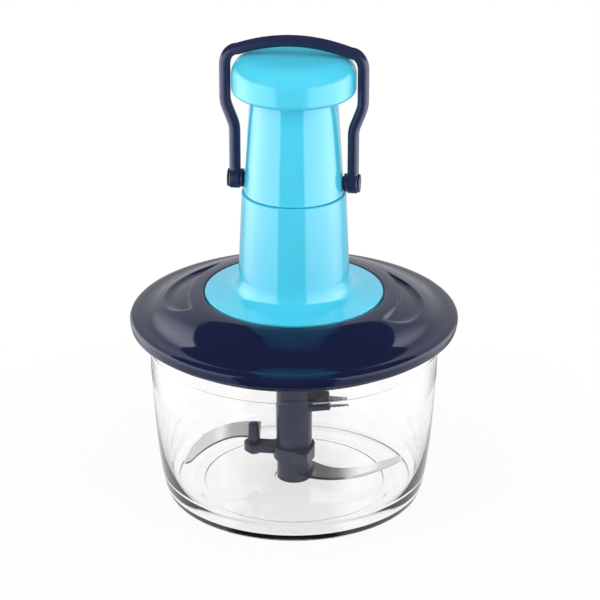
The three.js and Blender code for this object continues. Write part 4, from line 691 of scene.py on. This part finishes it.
class ChopperLoop(bpy.types.Operator):
    """Sweep the swinging loop, and turn its pivots."""
    bl_idname = "chopper.loop"
    bl_label = "Swinging loop"

    def execute(self, context):
        size = context.scene.chopper_loop
        navy = [finish("loop_abs")]
        pivot = size.pivot_height / MM
        half = size.width / MM / 2
        edge = size.edge / MM
        leg = rounded([(-31.8, pivot), (-31.8, 211, 18), (-36.8, 224, 18), (-36.8, 243)], 10)[:-1]
        corner = curve((-36.8, 244), (-36.8, 250.6), (-33, 253.2), (-30, 253.2), 14)
        arch = curve((-30, 253.2), (-10, 260.4), (10, 260.4), (30, 253.2), 40)
        path = leg + corner + arch[1:] + [Vector((-p.x, p.y)) for p in reversed(leg + corner[:-1])]
        section = rounded([(half, half, edge), (-half, half, edge), (-half, -half, edge),
                           (half, -half, edge)], 5)
        loop = bmesh.new()

        def place(i):
            way = (path[min(i + 1, len(path) - 1)] - path[max(i - 1, 0)]).normalized()
            spot = path[i] * MM
            return Matrix(((way.y, 0, way.x, spot.x), (0, -1, 0, 0), (-way.x, 0, way.y, spot.y),
                           (0, 0, 0, 1)))

        ring = [loop.verts.new(place(0) @ Vector((p.x * MM, p.y * MM, 0))) for p in section]
        end = loop.faces.new(ring)
        for i in range(1, len(path)):
            pulled = bmesh.ops.extrude_face_region(loop, geom=[end])["geom"]
            end = next(g for g in pulled if isinstance(g, bmesh.types.BMFace))
            bmesh.ops.transform(loop, matrix=place(i) @ place(i - 1).inverted(), verts=end.verts[:])
        bmesh.ops.recalc_face_normals(loop, faces=loop.faces)
        for side in (1, -1):
            add_shell(loop, across_x([(2.2, 28.8), (5.6, 28.8, 0.9), (5.6, 34.6, 0.9), (2.2, 34.6)],
                                     pivot, side, True))
        finish_piece("loop_navy", loop, navy, "loop", ["swing_loop"])
        for side, word in ((1, "right"), (-1, "left")):
            boss = across_x([(0, 23.6), (3.4, 23.6), (3.4, 26.8), (5, 27.2, 0.2), (5, 28.5, 0.3), (0, 28.5)],
                            pivot, side, False)
            finish_piece(f"boss_{word}", boss, navy, "head", [f"pivot_boss_{word}"])
            pin = across_x([(0, 29), (1.9, 29), (1.9, 34.9), (5, 34.9, 0.2), (5, 35.7, 0.4),
                            (3.6, 35.7, 0.2), (3.4, 35.5), (0, 35.5)], pivot, side, False)
            finish_piece(f"pin_{word}", pin, navy, "head", [f"pivot_pin_{word}"])
        return {"FINISHED"}


def across_x(outline, height, side, closed):
    """A turned shape whose axis lies along X: (radius, distance from the middle), in millimetres."""
    bm = lathe(rounded(outline, 4), 64, closed=closed)
    bmesh.ops.rotate(bm, verts=bm.verts, cent=(0, 0, 0), matrix=Matrix.Rotation(side * pi / 2, 3, "Y"))
    bmesh.ops.translate(bm, verts=bm.verts, vec=(0, 0, height * MM))
    return bm


class ChopperInnerFinishes(bpy.types.Operator):
    """Give the CAD nodes that stay their finishes."""
    bl_idname = "chopper.inner_finishes"
    bl_label = "Inner pieces"

    def execute(self, context):
        by_slot = {"clear_plastic": "clear_san", "navy_plastic": "loop_abs", "blade_steel": "blade_steel",
                   "turquoise_plastic": "turquoise_abs", "screw_steel": "screw_steel",
                   "white_plastic": "acetal", "seal_rubber": "silicone"}
        for part in frame["record"]["subparts"]:
            node = frame["nodes"][part["node"]]
            for slot in node.material_slots:
                slot.material = finish(by_slot[part["material_slot"]])
        return {"FINISHED"}


# The studio. The dark gap between the cards lies to the front, and what shows through the bowl is laid
# out from left to right across the photograph. The camera's place and aim are in millimetres.
FRONT = (0.059, -0.998, 0.0)
RIGHT = (0.991, 0.134, 0.0)
CAMERA_PLACE = (165.9, -1198.8, 630.6)
CAMERA_AIM = (3.23, 0.47, 111.34)
LIGHT_AIM = (0, 0, 0.12)


def towards(tree, place, direction):
    """How far a place or direction, seen from above, points one way: 1 is straight along it."""
    flat = add_node(tree, "ShaderNodeVectorMath", {"operation": "MULTIPLY", 1: (1, 1, 0)}, {0: place})
    unit = add_node(tree, "ShaderNodeVectorMath", {"operation": "NORMALIZE"}, {0: flat.outputs["Vector"]})
    dot = add_node(tree, "ShaderNodeVectorMath", {"operation": "DOT_PRODUCT", 1: direction},
                   {0: unit.outputs["Vector"]})
    return dot.outputs["Value"]


def steps_of(tree, value, stops, low=0.0, high=1.0):
    """Reads a value against a list of (value, strength) stops between low and high."""
    span = add_node(tree, "ShaderNodeMapRange", {"From Min": low, "From Max": high}, {"Value": value})
    table = add_node(tree, "ShaderNodeValToRGB", {}, {"Fac": span.outputs["Result"]})
    elements = table.color_ramp.elements
    while len(elements) < len(stops):
        elements.new(0.5)
    for element, (place, strength) in zip(elements, stops):
        element.position = (place - low) / (high - low)
        element.color = (strength, strength, strength, 1)
    return table.outputs["Color"]


def sums(tree, operation, first, second):
    """One arithmetic node: each side is an output or a number."""
    settings, links = {"operation": operation}, {}
    for i, side in enumerate((first, second)):
        if isinstance(side, (int, float)):
            settings[i] = side
        else:
            links[i] = side
    return add_node(tree, "ShaderNodeMath", settings, links).outputs[0]


class ChopperStage(bpy.types.Operator):
    """Set the floor, the lights, the surroundings and the camera."""
    bl_idname = "chopper.stage"
    bl_label = "Studio"

    def execute(self, context):
        size = context.scene.chopper_stage
        self.lay_floor(size)
        self.stand_cards(size)
        self.set_surround(context, size)
        side_box, top_box = (0.7, 1.1), (0.9, 0.9)
        add_light("side_left", (-0.9, -0.7, 0.75), side_box, size.side_power)
        add_light("side_right", (1.0, -0.6, 0.75), side_box, size.side_power)
        add_light("overhead", (0.0, 0.1, 1.3), top_box, size.top_power)

        lens = bpy.data.cameras.new("photo_camera")
        lens.lens = size.lens
        lens.sensor_width = 36
        camera = bpy.data.objects.new("photo_camera", lens)
        camera.location = Vector(CAMERA_PLACE) * MM
        look = (Vector(CAMERA_AIM) * MM - camera.location).to_track_quat("-Z", "Y")
        camera.rotation_euler = (look.to_matrix() @ Matrix.Rotation(size.roll, 3, "Z")).to_euler()
        context.scene.collection.objects.link(camera)
        context.scene.camera = camera
        context.scene.view_settings.view_transform = "Standard"
        return {"FINISHED"}

    def lay_floor(self, size):
        """A matt white paper floor that turns blank away from the object, and keeps its shadow. In
        mirrors, and a little through the bowl, it is dark in front of the object."""
        blank_from, blank_to, foot_from, foot_to = 0.11, 0.26, 0.1, 0.12
        through_share, darkening = 0.4, 0.85
        white, tree, output = new_material("seamless_white_paper")
        place = add_node(tree, "ShaderNodeTexCoord").outputs["Object"]
        away = add_node(tree, "ShaderNodeVectorMath", {"operation": "LENGTH"}, {0: place}).outputs["Value"]
        fade = add_node(tree, "ShaderNodeMapRange", {
            "From Min": blank_from, "From Max": blank_to, "To Min": size.floor_lift, "To Max": 1.0,
            "interpolation_type": "SMOOTHSTEP"}, {"Value": away}).outputs["Result"]
        outside = add_node(tree, "ShaderNodeMapRange", {"From Min": foot_from, "From Max": foot_to},
                           {"Value": away}).outputs["Result"]
        gap = steps_of(tree, towards(tree, place, FRONT), [(-1.0, 0.0), (0.88, 0.0), (0.92, 1.0)], -1.0)
        rays = add_node(tree, "ShaderNodeLightPath")
        through = rays.outputs["Is Transmission Ray"]
        mirrored = sums(tree, "MULTIPLY", rays.outputs["Is Glossy Ray"], sums(tree, "SUBTRACT", 1.0, through))
        dark = sums(tree, "MULTIPLY", gap, sums(
            tree, "MAXIMUM", mirrored,
            sums(tree, "MULTIPLY", sums(tree, "MULTIPLY", through, outside), through_share)))
        strength = sums(tree, "SUBTRACT", 1.0, sums(tree, "MULTIPLY", dark, darkening))
        seen = sums(tree, "MAXIMUM", rays.outputs["Is Camera Ray"], through)
        lift = sums(tree, "MAXIMUM", sums(tree, "MULTIPLY", fade, seen), mirrored)
        lift = sums(tree, "MAXIMUM", lift, dark)
        paper = add_node(tree, "ShaderNodeBsdfDiffuse", {"Color": (0.86, 0.86, 0.87, 1)})
        glow = add_node(tree, "ShaderNodeEmission", {"Color": (1, 1, 1, 1)}, {"Strength": strength})
        mix = add_node(tree, "ShaderNodeMixShader", {}, {
            0: lift, 1: paper.outputs["BSDF"], 2: glow.outputs["Emission"]})
        tree.links.new(mix.outputs["Shader"], output.inputs["Surface"])
        bm = bmesh.new()
        bmesh.ops.create_grid(bm, x_segments=1, y_segments=1, size=3)
        floor = self.stage_piece("paper_floor", bm, white)
        floor.location.z = -0.02 * MM

    def stand_cards(self, size):
        """A ring of lit cards that only reflections see: bright to the sides, dark in the gap at the
        front and above, with a lower light behind. Through the clear bowl only its upper part counts.
        A stop is a place between two ends, such as -1 behind and 1 in front, and the strength there."""
        bowl_lift, bowl_from, bowl_to = 1.25, 0.064, 0.07
        card, tree, output = new_material("lit_card")
        place = add_node(tree, "ShaderNodeTexCoord").outputs["Object"]
        height = add_node(tree, "ShaderNodeSeparateXYZ", {}, {0: place}).outputs["Z"]
        round_front = steps_of(tree, towards(tree, place, FRONT), [
            (-1.0, size.back_card), (-0.55, size.back_card), (-0.3, 0.7), (0.0, 1.0),
            (0.885, 0.6), (0.9, 0.02), (1.0, 0.02)], -1.0)
        behind = steps_of(tree, towards(tree, place, RIGHT), [
            (-1.0, 0.7), (-0.33, 0.7), (-0.295, 1.0), (-0.26, 0.4), (-0.17, 0.4), (-0.11, 0.12),
            (0.174, 0.12), (0.26, 1.0), (0.33, 1.0), (0.345, 0.7), (1.0, 0.7)], -1.0)
        rays = add_node(tree, "ShaderNodeLightPath")
        through = rays.outputs["Is Transmission Ray"]
        rise = steps_of(tree, height, [(0.0, 0.3), (0.05, 0.3), (0.08, 0.6), (0.14, 1.0)], 0.0, 0.3)
        cards = sums(tree, "MULTIPLY", sums(tree, "MULTIPLY", round_front, rise), size.card_power)
        strength = add_node(tree, "ShaderNodeMixRGB", {}, {
            "Fac": through, "Color1": cards, "Color2": sums(tree, "MULTIPLY", behind, bowl_lift),
        }).outputs["Color"]
        glow = add_node(tree, "ShaderNodeEmission", {"Color": (1, 1, 1, 1)}, {"Strength": strength})
        clear = add_node(tree, "ShaderNodeBsdfTransparent")
        low = add_node(tree, "ShaderNodeMapRange", {
            "From Min": bowl_from, "From Max": bowl_to, "To Min": 1.0, "To Max": 0.0},
            {"Value": height}).outputs["Result"]
        mix = add_node(tree, "ShaderNodeMixShader", {}, {
            0: sums(tree, "MULTIPLY", through, low), 1: glow.outputs["Emission"], 2: clear.outputs["BSDF"]})
        tree.links.new(mix.outputs["Shader"], output.inputs["Surface"])
        bm = bmesh.new()
        verts = [bm.verts.new((size.card_reach, 0, z)) for z in (0, size.card_height)]
        edge = bm.edges.new(verts)
        bmesh.ops.spin(bm, geom=verts + [edge], cent=(0, 0, 0), axis=(0, 0, 1), angle=FULL_TURN,
                       steps=96, use_merge=True)
        ring = self.stage_piece("lit_cards", bm, card)
        ring.visible_camera = False
        ring.visible_diffuse = False
        ring.visible_shadow = False

    def stage_piece(self, name, bm, material):
        """Makes an object of a mesh and its material, and puts it in the scene."""
        mesh = bpy.data.meshes.new(name)
        bm.to_mesh(mesh)
        bm.free()
        mesh.materials.append(material)
        piece = bpy.data.objects.new(name, mesh)
        bpy.context.scene.collection.objects.link(piece)
        return piece

    def set_surround(self, context, size):
        """A white surround, softer overhead for the light it gives, and dark above in reflections."""
        overhead_share = 0.45
        world = bpy.data.worlds.new("studio_surround")
        context.scene.world = world
        world.use_nodes = True
        tree = world.node_tree
        tree.nodes.clear()
        rays = add_node(tree, "ShaderNodeLightPath")
        way = add_node(tree, "ShaderNodeTexCoord").outputs["Generated"]
        up = add_node(tree, "ShaderNodeSeparateXYZ", {}, {0: way}).outputs["Z"]
        fill = add_node(tree, "ShaderNodeMapRange", {
            "From Min": 0.0, "From Max": 1.0, "To Min": size.sky, "To Max": size.sky * overhead_share},
            {"Value": up}).outputs["Result"]
        seen = sums(tree, "MAXIMUM", rays.outputs["Is Camera Ray"], rays.outputs["Is Transmission Ray"])
        soft = add_node(tree, "ShaderNodeBackground", {"Color": (1, 1, 1, 1)}, {"Strength": fill})
        mirror = add_node(tree, "ShaderNodeBackground", {"Color": (1, 1, 1, 1), "Strength": size.ceiling})
        blank = add_node(tree, "ShaderNodeBackground", {"Color": (1, 1, 1, 1), "Strength": 1.0})
        first = add_node(tree, "ShaderNodeMixShader", {}, {
            0: rays.outputs["Is Glossy Ray"], 1: soft.outputs[0], 2: mirror.outputs[0]})
        second = add_node(tree, "ShaderNodeMixShader", {}, {
            0: seen, 1: first.outputs[0], 2: blank.outputs[0]})
        add_node(tree, "ShaderNodeOutputWorld", {}, {"Surface": second.outputs[0]})


def add_light(name, place, size, power):
    """A soft box that faces the middle of the object. Reflections show the cards instead of it."""
    light = bpy.data.lights.new(name, "AREA")
    light.shape = "RECTANGLE"
    light.size, light.size_y = size
    light.energy = power
    lamp = bpy.data.objects.new(name, light)
    lamp.location = place
    aim = Vector(LIGHT_AIM) - Vector(place)
    lamp.rotation_euler = aim.to_track_quat("-Z", "Y").to_euler()
    lamp.visible_camera = False
    lamp.visible_glossy = False
    bpy.context.scene.collection.objects.link(lamp)


class ChopperPanel(bpy.types.Panel):
    """Lists the chopper's pieces."""
    bl_idname = "VIEW3D_PT_chopper"
    bl_label = "Press-down Chopper"
    bl_space_type = "VIEW_3D"
    bl_region_type = "UI"
    bl_category = "Chopper"

    def draw(self, context):
        for operator in OPERATORS:
            self.layout.operator(operator.bl_idname)
        for group in GROUPS:
            box = self.layout.box()
            settings = getattr(context.scene, group)
            for name in GROUPS[group].__annotations__:
                box.prop(settings, name)


GROUPS = {
    "chopper_bowl": ChopperBowlSizes,
    "chopper_rotor": ChopperRotorSizes,
    "chopper_lid": ChopperLidSizes,
    "chopper_handle": ChopperHandleSizes,
    "chopper_loop": ChopperLoopSizes,
    "chopper_stage": ChopperStageSettings,
}
OPERATORS = (ChopperInnerFinishes, ChopperBowl, ChopperRotor, ChopperLid, ChopperHandle, ChopperLoop,
             ChopperStage)


def register():
    for group, kind in GROUPS.items():
        bpy.utils.register_class(kind)
        setattr(bpy.types.Scene, group, PointerProperty(type=kind))
    for kind in OPERATORS:
        bpy.utils.register_class(kind)
    bpy.utils.register_class(ChopperPanel)


def unregister():
    bpy.utils.unregister_class(ChopperPanel)
    for kind in reversed(OPERATORS):
        bpy.utils.unregister_class(kind)
    for group, kind in GROUPS.items():
        delattr(bpy.types.Scene, group)
        bpy.utils.unregister_class(kind)


def main():
    register()
    for operator in OPERATORS:
        module, name = operator.bl_idname.split(".")
        getattr(getattr(bpy.ops, module), name)()


if __name__ == "__main__":
    main()
